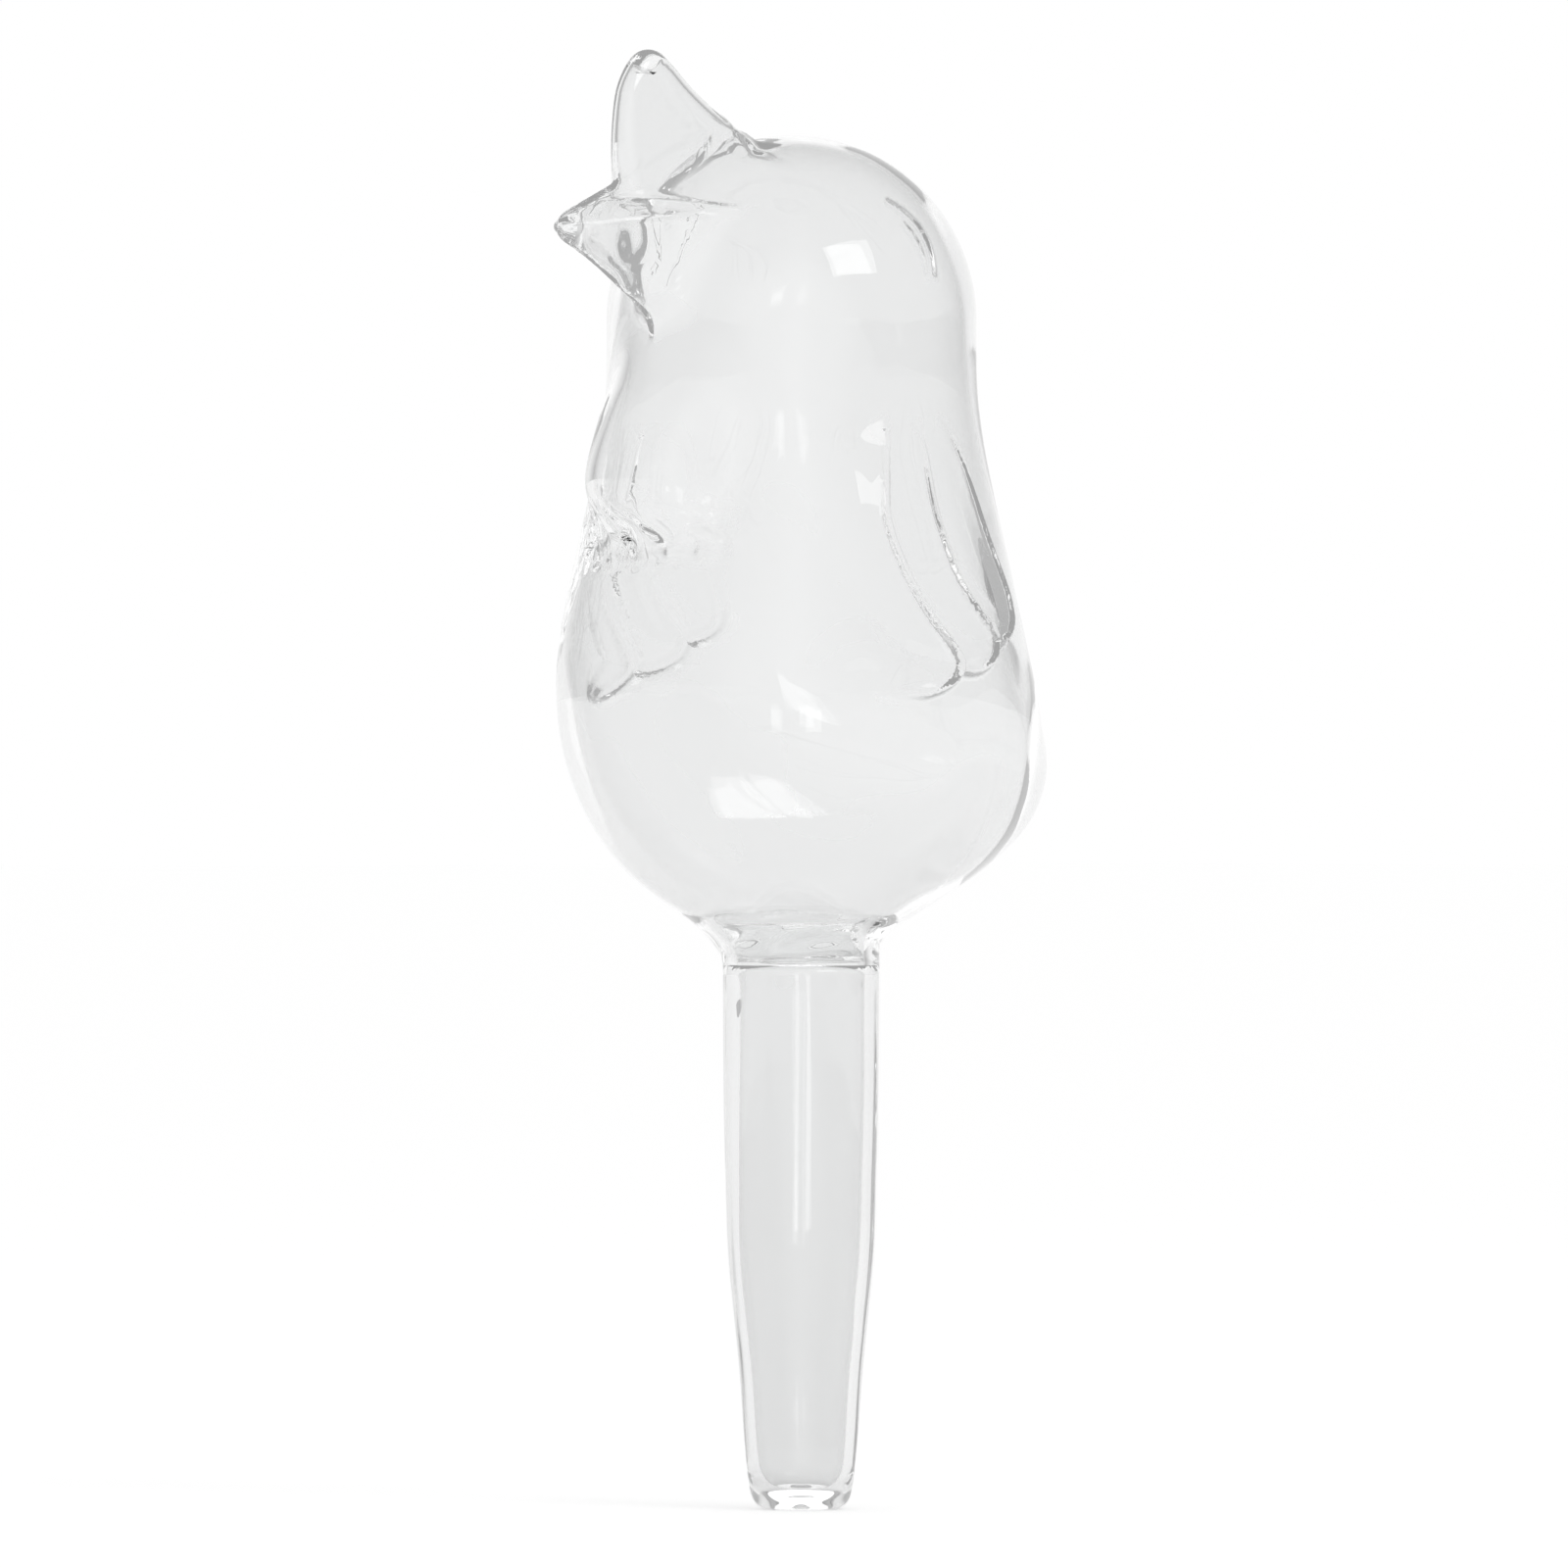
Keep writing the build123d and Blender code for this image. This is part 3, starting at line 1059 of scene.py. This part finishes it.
@dataclass
class BlownBird:
    """The bulb with its comb and beak: one closed wall of blown glass."""

    wall: float = 1.3
    neck_fillet: float = 4.5
    neck: BlownNeck = field(default_factory=BlownNeck)
    outer_pitch: float = 0.82
    inner_pitch: float = 0.98
    tail_fillet: float = 13.0
    foot_fillet: float = 6.0
    foot: Fade = Fade(76.9, 12.0)
    bib_fillet: float = 4.0
    beak_fillet: float = 3.0
    comb_fillet: float = 1.6
    comb_wall: float = 0.7
    beak_wall: float = 0.65
    inner_relief: float = 0.35
    inner_hem: float = 0.5
    inner_wave: float = 0.12
    wave_pitch: float = 16.0
    far: float = 20.0
    # How the cast skins settle on their forms and where they are split.
    first_rounds: int = 6
    later_rounds: int = 2
    relaxing: float = 0.5
    bends: tuple[float, float] = (9.5, 8.5)
    shortest: float = 0.22
    body: TurnedBody = field(default_factory=TurnedBody)
    tail: TailNose = field(default_factory=TailNose)
    bib: ThroatBib = field(default_factory=ThroatBib)
    comb: CrestFin = field(default_factory=CrestFin)
    beak: PointedBeak = field(default_factory=PointedBeak)
    wings: FeatheredWings = field(default_factory=FeatheredWings)
    eyes: ClosedEyes = field(default_factory=ClosedEyes)

    def trunk(self, places: np.ndarray, extra: float = 0.0) -> np.ndarray:
        """Distances to the body, tail, neck and bib melted together.

        Args:
            places: Points in mm, one row each.
            extra: How much thicker the neck's wall is than the bulb's, in mm.

        Returns:
            The distances, in mm.
        """
        z = places[:, 2]
        up = self.foot.share(z)
        reach = self.foot_fillet + (self.tail_fillet - self.foot_fillet) * up
        skin = melt(self.body.form(places), self.tail.form(places), reach)
        skin = melt(skin, self.neck.form(places) + extra, self.neck_fillet)
        return melt(skin, self.bib.form(places), self.bib_fillet)

    def relief(self, places: np.ndarray) -> np.ndarray:
        """The feathers' height, measured only where there are feathers.

        Args:
            places: Points in mm, one row each.

        Returns:
            One height for each point, in mm.
        """
        x, _, z = places.T
        near = (z > self.wings.foot_z) & (z < self.wings.top_z)
        near &= np.abs(x) > self.wings.sides.start
        return only_near(places, near, self.wings.relief, 0.0)

    def face(
        self, places: np.ndarray, skin: np.ndarray, beak_wall: Form, comb_wall: float, edge: float
    ) -> np.ndarray:
        """Melts the beak and the comb into a skin.

        Args:
            places: Points in mm, one row each.
            skin: Distances to the skin without them.
            beak_wall: How far inside its outer skin the beak is measured.
            comb_wall: The same for the comb, in mm.
            edge: How round the beak's edges are, in mm.

        Returns:
            The distances, in mm.
        """
        _, y, z = places.T
        beak = only_near(
            places,
            (y < self.beak.near_y) & (z > self.beak.near_z),
            lambda part: self.beak.form(part, edge) + beak_wall(part),
            self.far,
        )
        near_comb = z > self.comb.near_z
        comb = only_near(places, near_comb, lambda part: self.comb.form(part) + comb_wall, self.far)
        return melt(melt(skin, beak, self.beak_fillet), comb, self.comb_fillet)

    def outside(self, places: np.ndarray) -> np.ndarray:
        """Distances to the glass's outer skin with all its detail.

        Args:
            places: Points in mm, one row each.

        Returns:
            One distance for each point, in mm.
        """
        x, y, z = places.T
        near_eyes = z > self.eyes.near_z
        near_eyes &= np.abs(x) > self.eyes.sides.start
        press = only_near(places, near_eyes, self.eyes.press, 0.0)
        hem = only_near(places, y < self.bib.near_y, self.bib.hem, 0.0)
        skin = self.trunk(places) - self.relief(places) + press - hem
        skin = self.face(places, skin, lambda part: np.zeros(len(part)), 0.0, self.beak.edge)
        near_mouth = y < self.beak.mouth_near_y
        near_mouth &= z > self.beak.mouth_near_z
        skin += only_near(places, near_mouth, self.beak.mouth_press, 0.0)
        return skin - only_near(places, z > self.comb.fold_near_z, self.comb.folds, 0.0)

    def inside(self, places: np.ndarray) -> np.ndarray:
        """Distances to the glass's inner skin, which is smoother than the outer one.

        Args:
            places: Points in mm, one row each.

        Returns:
            One distance for each point, in mm.
        """
        y = places[:, 1]
        trunk = self.trunk(places, self.neck.wall - self.wall)
        wave = self.inner_wave * waves(places, self.wave_pitch, count=5, seed=3)
        skin = trunk - self.inner_relief * self.relief(places) + self.wall + wave
        skin = self.face(
            places,
            skin,
            lambda part: self.beak_wall + self.beak.tip_glass(part) + self.beak.folds(part),
            self.comb_wall,
            self.beak.inner_edge,
        )
        hem = only_near(places, y < self.bib.near_y, self.bib.hem, 0.0)
        return skin - self.inner_hem * hem

    def skin(self, form: Form, pitch: float, inset: float) -> bmesh.types.BMesh:
        """Casts one skin of the glass and settles it on its form.

        Args:
            form: The skin's form.
            pitch: Size of its faces, in mm.
            inset: How far it lies inside the outer skin, in mm.

        Returns:
            The skin, cut off flat at the neck.
        """
        bm = bmesh.new()
        for member in (self.body, self.neck, self.tail, self.bib, self.comb, self.beak):
            member.seed(bm, inset)
        bm = voxel_skin(bm, pitch)
        settle(bm, form, self.first_rounds)
        relax(bm, self.relaxing)
        settle(bm, form, self.later_rounds)
        for bend in self.bends:
            split_bends(bm, form, bend, self.shortest)
            settle(bm, form, self.later_rounds)
        bmesh.ops.bisect_plane(
            bm,
            geom=bm.verts[:] + bm.edges[:] + bm.faces[:],
            plane_co=(0, 0, self.neck.foot_z),
            plane_no=(0, 0, -1),
            clear_outer=True,
        )
        return bm

    def build(self, material: bpy.types.Material) -> bpy.types.Object:
        """Makes the closed glass wall of the bird.

        Args:
            material: The glass.

        Returns:
            The bird's object.
        """
        outer = self.skin(self.outside, self.outer_pitch, 0.0)
        inner = self.skin(self.inside, self.inner_pitch, self.wall)
        bmesh.ops.reverse_faces(inner, faces=inner.faces[:])
        lining = bpy.data.meshes.new("lining")
        inner.to_mesh(lining)
        inner.free()
        outer.from_mesh(lining)
        bpy.data.meshes.remove(lining)
        rims = [edge for edge in outer.edges if edge.is_boundary]
        bmesh.ops.bridge_loops(outer, edges=rims)
        facing = self.facing(vertex_places(outer))
        piece = finished_piece("blown_bird", outer, material)
        piece.data.normals_split_custom_set_from_vertices(facing)
        return piece

    def facing(self, places: np.ndarray) -> np.ndarray:
        """The way the glass faces at each of its points, as its forms give it.

        Args:
            places: Points of both skins in mm, one row each.

        Returns:
            A unit vector for each point, which points out of the glass.
        """
        outer_way, inner_way = steepness(self.outside, places), -steepness(self.inside, places)
        is_outer = np.abs(self.outside(places)) < np.abs(self.inside(places))
        return unit_rows(np.where(is_outer[:, None], outer_way, inner_way))


def turned_ring(stops: Sequence[PlanePoint], steps: int) -> bmesh.types.BMesh:
    """Turns a closed profile about the upright axis.

    Args:
        stops: The profile's points in order, as radius and height in mm.
        steps: How many steps the turn has.

    Returns:
        The closed ring or tube.
    """
    bm = bmesh.new()
    loop = [bm.verts.new((radius, 0, z)) for radius, z in stops]
    edges = [bm.edges.new(pair) for pair in zip(loop, loop[1:] + loop[:1])]
    bmesh.ops.spin(
        bm,
        geom=loop + edges,
        cent=(0, 0, 0),
        axis=(0, 0, 1),
        angle=2.0 * math.pi,
        steps=steps,
        use_merge=True,
        use_duplicate=False,
    )
    bmesh.ops.remove_doubles(bm, verts=bm.verts[:], dist=1e-4)
    bmesh.ops.recalc_face_normals(bm, faces=bm.faces[:])
    return bm


@dataclass
class NeckSeal:
    """The wavy bead of glass that melted inside the neck where it was fused to the tube."""

    foot_z: float = 70.0
    top_z: float = 75.4
    radius: float = 8.14
    thickness: float = 0.75
    flare: float = 1.5
    flare_z: float = 73.2
    shift: float = 1.7
    seam_z: float = 69.4
    seam_rise: float = 5.5
    ripple: float = 0.3
    ripple_pitch: float = 4.2
    ripple_stretch: tuple[float, float, float] = (0.5, 0.5, 2.0)
    rim: float = 0.1
    belly: float = 1.2
    skin_depth: Fade = Fade(0.04, 0.4)
    roll: float = 1.0
    roll_turn: float = 0.7
    steps: int = 160

    def build(self, material: bpy.types.Material) -> bpy.types.Object:
        """Makes the bead, melted in uneven waves along the neck's wall.

        Args:
            material: The glass.

        Returns:
            The bead's object.
        """
        middle = (self.foot_z + self.top_z) / 2
        wide, bulge, end = self.radius, self.radius - self.thickness, self.radius - self.rim
        high, low = middle + self.belly, middle - self.belly
        outside = fair_curve(((wide, self.foot_z), (wide, middle), (wide, self.top_z)), count=10)
        bulging = ((end, self.top_z), (bulge, high), (bulge, low), (end, self.foot_z))
        inside = fair_curve(bulging, count=8)
        bm = turned_ring(outside + inside, self.steps)
        places = vertex_places(bm)
        share = np.clip((places[:, 2] - self.foot_z) / (self.top_z - self.foot_z), 0.0, 1.0)
        out = np.maximum(np.hypot(places[:, 0], places[:, 1]), 1e-6)
        stretched = places * np.array(self.ripple_stretch)
        lift = self.ripple * self.skin_depth.share(self.radius - out)
        lift *= waves(stretched, self.ripple_pitch, count=8, seed=41)
        up = np.clip((places[:, 2] - self.flare_z) / (self.top_z - self.flare_z), 0.0, 1.0)
        swell(places, (lift + self.flare * up**2) / out)
        turn = np.arctan2(places[:, 1], places[:, 0])
        places[:, 2] += self.roll * np.sin(2.0 * turn + self.roll_turn) * share * (1.0 - share)
        places[:, 1] -= self.shift * ease((places[:, 2] - self.seam_z) / self.seam_rise)
        put_vertices(bm, places)
        return finished_piece("neck_bead", bm, material)


@dataclass
class StemTube:
    """The drawn tube, closed in round its drip hole. Its stops are radius and height."""

    outside: tuple[PlanePoint, ...] = (
        (1.5, 0.0), (4.2, 0.0), (5.4, 0.45), (6.25, 1.5), (6.7, 3.2), (6.95, 5.4), (7.38, 10.0),
        (7.94, 17.5), (8.7, 25.0), (9.2, 30.0), (9.52, 35.0), (9.72, 42.5), (9.88, 47.5),
        (9.98, 55.0), (10.0, 62.0), (10.0, 69.4),
    )
    inside: tuple[PlanePoint, ...] = (
        (8.2, 69.4), (8.2, 62.0), (8.18, 55.0), (8.05, 47.5), (7.9, 42.5), (7.72, 35.0),
        (7.4, 30.0), (6.9, 25.0), (6.2, 17.5), (5.75, 10.0), (5.5, 6.6), (5.1, 4.4), (4.3, 2.9),
        (3.0, 2.1), (1.5, 1.8),
    )
    steps: int = 160
    draw: float = 0.05
    draw_pitch: float = 7.0
    draw_stretch: tuple[float, float, float] = (1.0, 1.0, 0.08)
    bore_edge: Fade = Fade(2.5, 2.0)
    straight_end: Fade = Fade(-69.4, 3.0)
    tip_end: Fade = Fade(0.0, 3.0)

    def build(self, material: bpy.types.Material) -> bpy.types.Object:
        """Makes the tube with the faint unevenness of drawn glass.

        Args:
            material: The glass.

        Returns:
            The tube's object.
        """
        walls = fair_curve(self.outside, count=6) + fair_curve(self.inside, count=6)
        bm = turned_ring(walls, self.steps)
        places = vertex_places(bm)
        out = np.maximum(np.hypot(places[:, 0], places[:, 1]), 1e-6)
        bore = self.bore_edge.share(out)
        bore *= self.straight_end.share(-places[:, 2]) * self.tip_end.share(places[:, 2])
        stretched = places * np.array(self.draw_stretch)
        lift = -self.draw * bore * np.abs(waves(stretched, self.draw_pitch, count=6, seed=67))
        swell(places, lift / out)
        places[:, 2] = np.maximum(places[:, 2], 0.0)
        put_vertices(bm, places)
        return finished_piece("drip_stem", bm, material)


def feed(socket: bpy.types.NodeSocket, source: object) -> None:
    """Links a node's socket to another one's, or gives it a plain value.

    Args:
        socket: The socket that takes the value.
        source: The other node's socket, or the value.
    """
    if isinstance(source, bpy.types.NodeSocket):
        socket.id_data.links.new(source, socket)
    else:
        socket.default_value = source


def math_node(tree: bpy.types.NodeTree, operation: str, *sources: object) -> bpy.types.NodeSocket:
    """Adds a math node.

    Args:
        tree: Where it goes.
        operation: What it does.
        sources: What it takes: sockets or plain numbers.

    Returns:
        The socket with its result.
    """
    node = tree.nodes.new("ShaderNodeMath")
    node.operation = operation
    for socket, source in zip(node.inputs, sources):
        feed(socket, source)
    return node.outputs[0]


def range_node(tree: bpy.types.NodeTree, kind: str, *sources: object) -> bpy.types.NodeSocket:
    """Adds a node that spreads a value over another range.

    Args:
        tree: Where it goes.
        kind: The kind of its slope.
        sources: The value, where its range starts and ends, and what comes out there.

    Returns:
        The socket with its result.
    """
    node = tree.nodes.new("ShaderNodeMapRange")
    node.interpolation_type = kind
    for name, source in zip(("Value", "From Min", "From Max", "To Min", "To Max"), sources):
        feed(node.inputs[name], source)
    return node.outputs["Result"]


def vector_node(tree: bpy.types.NodeTree, operation: str, *sources: object) -> bpy.types.Node:
    """Adds a vector math node with its sources and gives it back.

    Args:
        tree: Where it goes.
        operation: What it does.
        sources: What it takes: sockets or plain values.

    Returns:
        The node, whose result is a vector or a number.
    """
    node = tree.nodes.new("ShaderNodeVectorMath")
    node.operation = operation
    for socket, source in zip(node.inputs, sources):
        feed(socket, source)
    return node


def node_group(name: str, takes: dict[str, str], gives: dict[str, str]) -> bpy.types.NodeTree:
    """Makes a node group with nothing in it but its sockets.

    Args:
        name: The group's name.
        takes: Its inputs, each with the type of its value.
        gives: Its outputs, the same way.

    Returns:
        The node group.
    """
    group = bpy.data.node_groups.new(name, "ShaderNodeTree")
    for in_out, sockets in (("INPUT", takes), ("OUTPUT", gives)):
        for socket, kind in sockets.items():
            group.interface.new_socket(socket, in_out=in_out, socket_type=kind)
    return group


class GlassKind(Enum):
    """The three glass finishes of the globe."""

    BLOWN = "blown_glass"
    SEAL = "seal_glass"
    DRAWN = "drawn_glass"


@dataclass(frozen=True)
class GlassFinish:
    """Clear glass with the faint ripple that the flame leaves in it."""

    kind: GlassKind
    tint: tuple[float, float, float] = (0.92, 0.923, 0.923)
    roughness: float = 0.0
    index: float = 1.47
    ripple_scale: float = 90.0
    ripple_stretch: tuple[float, float, float] = (1.0, 1.0, 1.0)
    ripple: float = 0.1
    low_share: float = 1.0
    edge_share: float = 0.86

    def material(self, ripple: bpy.types.NodeTree, tone: bpy.types.NodeTree) -> bpy.types.Material:
        """Makes the glass material.

        Args:
            ripple: The shared ripple group.
            tone: The shared group for the tint and for the painted glow that the glass emits on late
                bounces.

        Returns:
            The material.
        """
        glass = bpy.data.materials.new(self.kind.value)
        glass.use_nodes = True
        nodes = glass.node_tree.nodes
        shader = nodes["Principled BSDF"]
        place = nodes.new("ShaderNodeTexCoord").outputs["Object"]
        flow, shade = nodes.new("ShaderNodeGroup"), nodes.new("ShaderNodeGroup")
        flow.node_tree, shade.node_tree = ripple, tone
        bump = nodes.new("ShaderNodeBump")
        for node, name, source in (
            (shader, "Emission Strength", 1.0),
            (shader, "Roughness", self.roughness),
            (shader, "IOR", self.index),
            (shader, "Transmission Weight", 1.0),
            (flow, "Vector", place),
            (flow, "Scale", self.ripple_scale),
            (flow, "Stretch", self.ripple_stretch),
            (shade, "Vector", place),
            (shade, "Tint", (*self.tint, 1.0)),
            (shade, "Low Share", self.low_share),
            (shade, "Edge Share", self.edge_share),
            (bump, "Strength", self.ripple),
            (bump, "Distance", MM),
            (bump, "Height", flow.outputs["Height"]),
            (shader, "Base Color", shade.outputs["Color"]),
            # Painted light: the glass emits the faint painted glow of its late bounces.
            (shader, "Emission Color", shade.outputs["Painted Glow"]),
            (shader, "Normal", bump.outputs["Normal"]),
        ):
            feed(node.inputs[name], source)
        return glass


def ripple_group() -> bpy.types.NodeTree:
    """Builds the node group of slow uneven ripples that every glass here shares.

    Returns:
        The node group.
    """
    group = node_group(
        "flame_ripple",
        {"Vector": "NodeSocketVector", "Scale": "NodeSocketFloat", "Stretch": "NodeSocketVector"},
        {"Height": "NodeSocketFloat"},
    )
    start, end = group.nodes.new("NodeGroupInput"), group.nodes.new("NodeGroupOutput")
    drawn = vector_node(group, "MULTIPLY", start.outputs["Vector"], start.outputs["Stretch"])
    noise = group.nodes.new("ShaderNodeTexNoise")
    feed(noise.inputs["Detail"], 1.0)
    feed(noise.inputs["Roughness"], 0.4)
    feed(noise.inputs["Vector"], drawn.outputs["Vector"])
    feed(noise.inputs["Scale"], start.outputs["Scale"])
    feed(end.inputs["Height"], noise.outputs["Fac"])
    return group


def tint_and_glow_group(
    height: float = 0.07,
    edge: tuple[float, float] = (0.35, 0.95),
    late: float = 7.5,
    glow: float = 0.034,
    pale: float = 0.985,
) -> bpy.types.NodeTree:
    """Builds the node group for the glass's tint and for painted light deep inside its edges: past
    many bounces the glass emits a faint glow and turns paler.

    Args:
        height: How high above the tip the tint has its full share, in metres.
        edge: From which slant on the glass is deeper in tint, and where that ends.
        late: From how many bounces on a ray counts as caught in the wall.
        glow: How much painted glow the glass emits on each later bounce.
        pale: The paler grey that the glass is painted for those bounces, which brightens them as
            painted light.

    Returns:
        The node group.
    """
    group = node_group(
        "glass_tint_and_painted_glow",
        {
            "Vector": "NodeSocketVector",
            "Tint": "NodeSocketColor",
            "Low Share": "NodeSocketFloat",
            "Edge Share": "NodeSocketFloat",
        },
        {"Color": "NodeSocketColor", "Painted Glow": "NodeSocketColor"},
    )
    nodes = group.nodes
    start, end = nodes.new("NodeGroupInput"), nodes.new("NodeGroupOutput")
    split = nodes.new("ShaderNodeSeparateXYZ")
    feed(split.inputs[0], start.outputs["Vector"])
    from_share = start.outputs["Low Share"]
    low = range_node(group, "LINEAR", split.outputs["Z"], 0.0, height, from_share, 1.0)
    slant = nodes.new("ShaderNodeLayerWeight").outputs["Facing"]
    side = range_node(group, "SMOOTHSTEP", slant, *edge, 1.0, start.outputs["Edge Share"])
    toned = vector_node(group, "SCALE", start.outputs["Tint"])
    feed(toned.inputs["Scale"], math_node(group, "MULTIPLY", low, side))
    # Painted light: past the late bounce the glass turns pale and emits a faint glow, standing in for
    # light caught in its wall.
    depth = nodes.new("ShaderNodeLightPath").outputs["Ray Depth"]
    caught = math_node(group, "GREATER_THAN", depth, late)
    choice = nodes.new("ShaderNodeMix")
    choice.data_type = "RGBA"
    feed(choice.inputs[0], caught)
    feed(choice.inputs[6], toned.outputs["Vector"])
    feed(choice.inputs[7], (pale, pale, pale, 1.0))
    feed(end.inputs["Color"], choice.outputs[2])
    feed(end.inputs["Painted Glow"], math_node(group, "MULTIPLY", caught, glow))
    return group


@dataclass(frozen=True)
class Lamp:
    """A soft box. It hangs away from the globe's middle, and its sizes are in metres.

    Its aim says how far it lies to the right, up and back to the camera, and its glow is 1
    where it is white.
    """

    name: str
    aim: tuple[float, float, float]
    width: float
    height: float
    distance: float
    glow: float


@dataclass
class Studio:
    """The pale floor, the white surround, the lamps and the camera. Sizes are in metres."""

    azimuth: float = 46.0
    distance: float = 2.6
    lens: float = 468.0
    sensor: float = 36.0
    aim_across: float = -0.00219
    aim_z: float = 0.0925
    far: float = 60.0
    side_range: tuple[float, float] = (0.65, 0.985)
    side_grey: float = 0.5
    front_range: tuple[float, float] = (0.2, 0.7)
    streak_glow: float = 0.2
    streak_aim: float = 0.05
    streak_half: float = 0.24
    floor_size: float = 30.0
    floor_white: float = 0.82
    floor_glow: float = 0.54
    lamp_z: float = 0.12
    lamps: tuple[Lamp, ...] = (
        Lamp("window_box", (0.56, 0.62, 0.6), width=0.5, height=0.34, distance=1.0, glow=2.4),
        Lamp("right_strip", (0.17, -0.236, 0.957), width=0.045, height=0.06, distance=0.36, glow=1.7),
        Lamp("left_strip", (-0.12, -0.236, 0.964), width=0.03, height=0.06, distance=0.36, glow=1.3),
    )
    bounces: int = 40
    mirror_bounces: int = 16

    def axes(self) -> tuple[Vector, Vector]:
        """The way back to the camera and the way to its right.

        Returns:
            Two level vectors with a length of 1.
        """
        turn = math.radians(self.azimuth)
        back = Vector((math.sin(turn), -math.cos(turn), 0))
        return back, Vector((-back.y, back.x, 0))

    def camera(self) -> None:
        """Sets the camera level with the globe's middle, as far off as in the photograph."""
        back, right = self.axes()
        data = bpy.data.cameras.new("studio_camera")
        data.lens = self.lens
        data.sensor_width = self.sensor
        data.clip_end = self.far
        camera = placed("studio_camera", data)
        aim = right * self.aim_across + Vector((0, 0, self.aim_z))
        camera.location = aim + back * self.distance
        camera.rotation_euler = (-back).to_track_quat("-Z", "Y").to_euler()
        bpy.context.scene.camera = camera

    def seen_share(self, tree: bpy.types.NodeTree) -> bpy.types.NodeSocket:
        """A value of 1 for rays that the eye follows: straight, mirrored or through glass.

        Args:
            tree: The node tree in which it is worked out.

        Returns:
            The socket with the value.
        """
        path = tree.nodes.new("ShaderNodeLightPath").outputs
        first = math_node(tree, "MAXIMUM", path["Is Camera Ray"], path["Is Glossy Ray"])
        return math_node(tree, "MAXIMUM", first, path["Is Transmission Ray"])

    def surround(self) -> None:
        """A white surround that greys towards the sides, so that the glass's edges show."""
        world = bpy.data.worlds.new("surround")
        bpy.context.scene.world = world
        world.use_nodes = True
        tree = world.node_tree
        paint = tree.nodes["Background"]
        way = tree.nodes.new("ShaderNodeTexCoord").outputs["Generated"]
        back, right = self.axes()
        facing = vector_node(tree, "DOT_PRODUCT", way, back).outputs["Value"]
        across = vector_node(tree, "DOT_PRODUCT", way, right).outputs["Value"]
        depth = math_node(tree, "ABSOLUTE", facing)
        grey = range_node(tree, "SMOOTHSTEP", depth, *self.side_range, self.side_grey, 1.0)
        apart = math_node(tree, "ABSOLUTE", math_node(tree, "SUBTRACT", across, self.streak_aim))
        streak = range_node(tree, "SMOOTHSTEP", apart, 0.0, self.streak_half, self.streak_glow, 0.0)
        front = range_node(tree, "SMOOTHSTEP", facing, *self.front_range)
        card = math_node(tree, "MULTIPLY_ADD", streak, front, grey)
        pick = tree.nodes.new("ShaderNodeMix")
        pick.data_type = "FLOAT"
        feed(pick.inputs["Factor"], tree.nodes.new("ShaderNodeLightPath").outputs["Is Camera Ray"])
        feed(pick.inputs[2], card)
        feed(pick.inputs[3], 1.0)
        feed(paint.inputs["Strength"], pick.outputs[0])
        feed(paint.inputs["Color"], (1.0, 1.0, 1.0, 1.0))

    def floor(self) -> None:
        """A plain pale floor that keeps the globe's shadow."""
        bm = bmesh.new()
        bmesh.ops.create_grid(bm, x_segments=1, y_segments=1, size=self.floor_size / 2)
        mesh = bpy.data.meshes.new("pale_floor")
        bm.to_mesh(mesh)
        bm.free()
        floor = placed("pale_floor", mesh)
        paint = bpy.data.materials.new("pale_floor")
        paint.use_nodes = True
        tree = paint.node_tree
        glow = math_node(tree, "MULTIPLY", self.seen_share(tree), self.floor_glow)
        for name, source in (
            ("Base Color", (self.floor_white, self.floor_white, self.floor_white, 1.0)),
            ("Roughness", 1.0),
            ("Specular IOR Level", 0.0),
            ("Emission Color", (1.0, 1.0, 1.0, 1.0)),
            ("Emission Strength", glow),
        ):
            feed(tree.nodes["Principled BSDF"].inputs[name], source)
        mesh.materials.append(paint)

    def hang(self, lamp: Lamp) -> None:
        """Hangs a lamp so that it faces the globe and isn't seen itself.

        Args:
            lamp: The lamp.
        """
        back, right = self.axes()
        across, up, near = lamp.aim
        way = (right * across + Vector((0, 0, 1)) * up + back * near).normalized()
        data = bpy.data.lights.new(lamp.name, "AREA")
        data.shape = "RECTANGLE"
        data.size, data.size_y = lamp.width, lamp.height
        data.energy = lamp.glow * lamp.width * lamp.height * math.pi
        box = placed(lamp.name, data)
        box.location = Vector((0, 0, self.lamp_z)) + way * lamp.distance
        box.rotation_euler = (-way).to_track_quat("-Z", "Y").to_euler()
        box.visible_camera = False

    def build(self) -> None:
        """Sets up everything that isn't the globe."""
        scene = bpy.context.scene
        scene.view_settings.view_transform = "Standard"
        scene.cycles.max_bounces = self.bounces
        scene.cycles.transmission_bounces = self.bounces
        scene.cycles.glossy_bounces = self.mirror_bounces
        self.camera()
        self.surround()
        self.floor()
        for lamp in self.lamps:
            self.hang(lamp)


def main() -> None:
    """Builds the globe's pieces in order and sets up the studio."""
    logging.basicConfig(level=logging.INFO)
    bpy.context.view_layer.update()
    Studio().build()
    ripple, tone = ripple_group(), tint_and_glow_group()
    blown = GlassFinish(GlassKind.BLOWN).material(ripple, tone)
    seal = GlassFinish(GlassKind.SEAL, ripple_scale=160.0, ripple=0.25).material(ripple, tone)
    drawn = GlassFinish(
        GlassKind.DRAWN,
        tint=(0.89, 0.893, 0.893),
        low_share=0.95,
        edge_share=0.68,
        ripple_stretch=(1.0, 1.0, 0.08),
        ripple_scale=140.0,
    ).material(ripple, tone)
    hand_over(BlownBird().build(blown), ("bird_bulb", "comb", "beak"))
    hand_over(NeckSeal().build(seal), ("neck_seal",))
    hand_over(StemTube().build(drawn), ("stem_tube",))


if __name__ == "__main__":
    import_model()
    main()
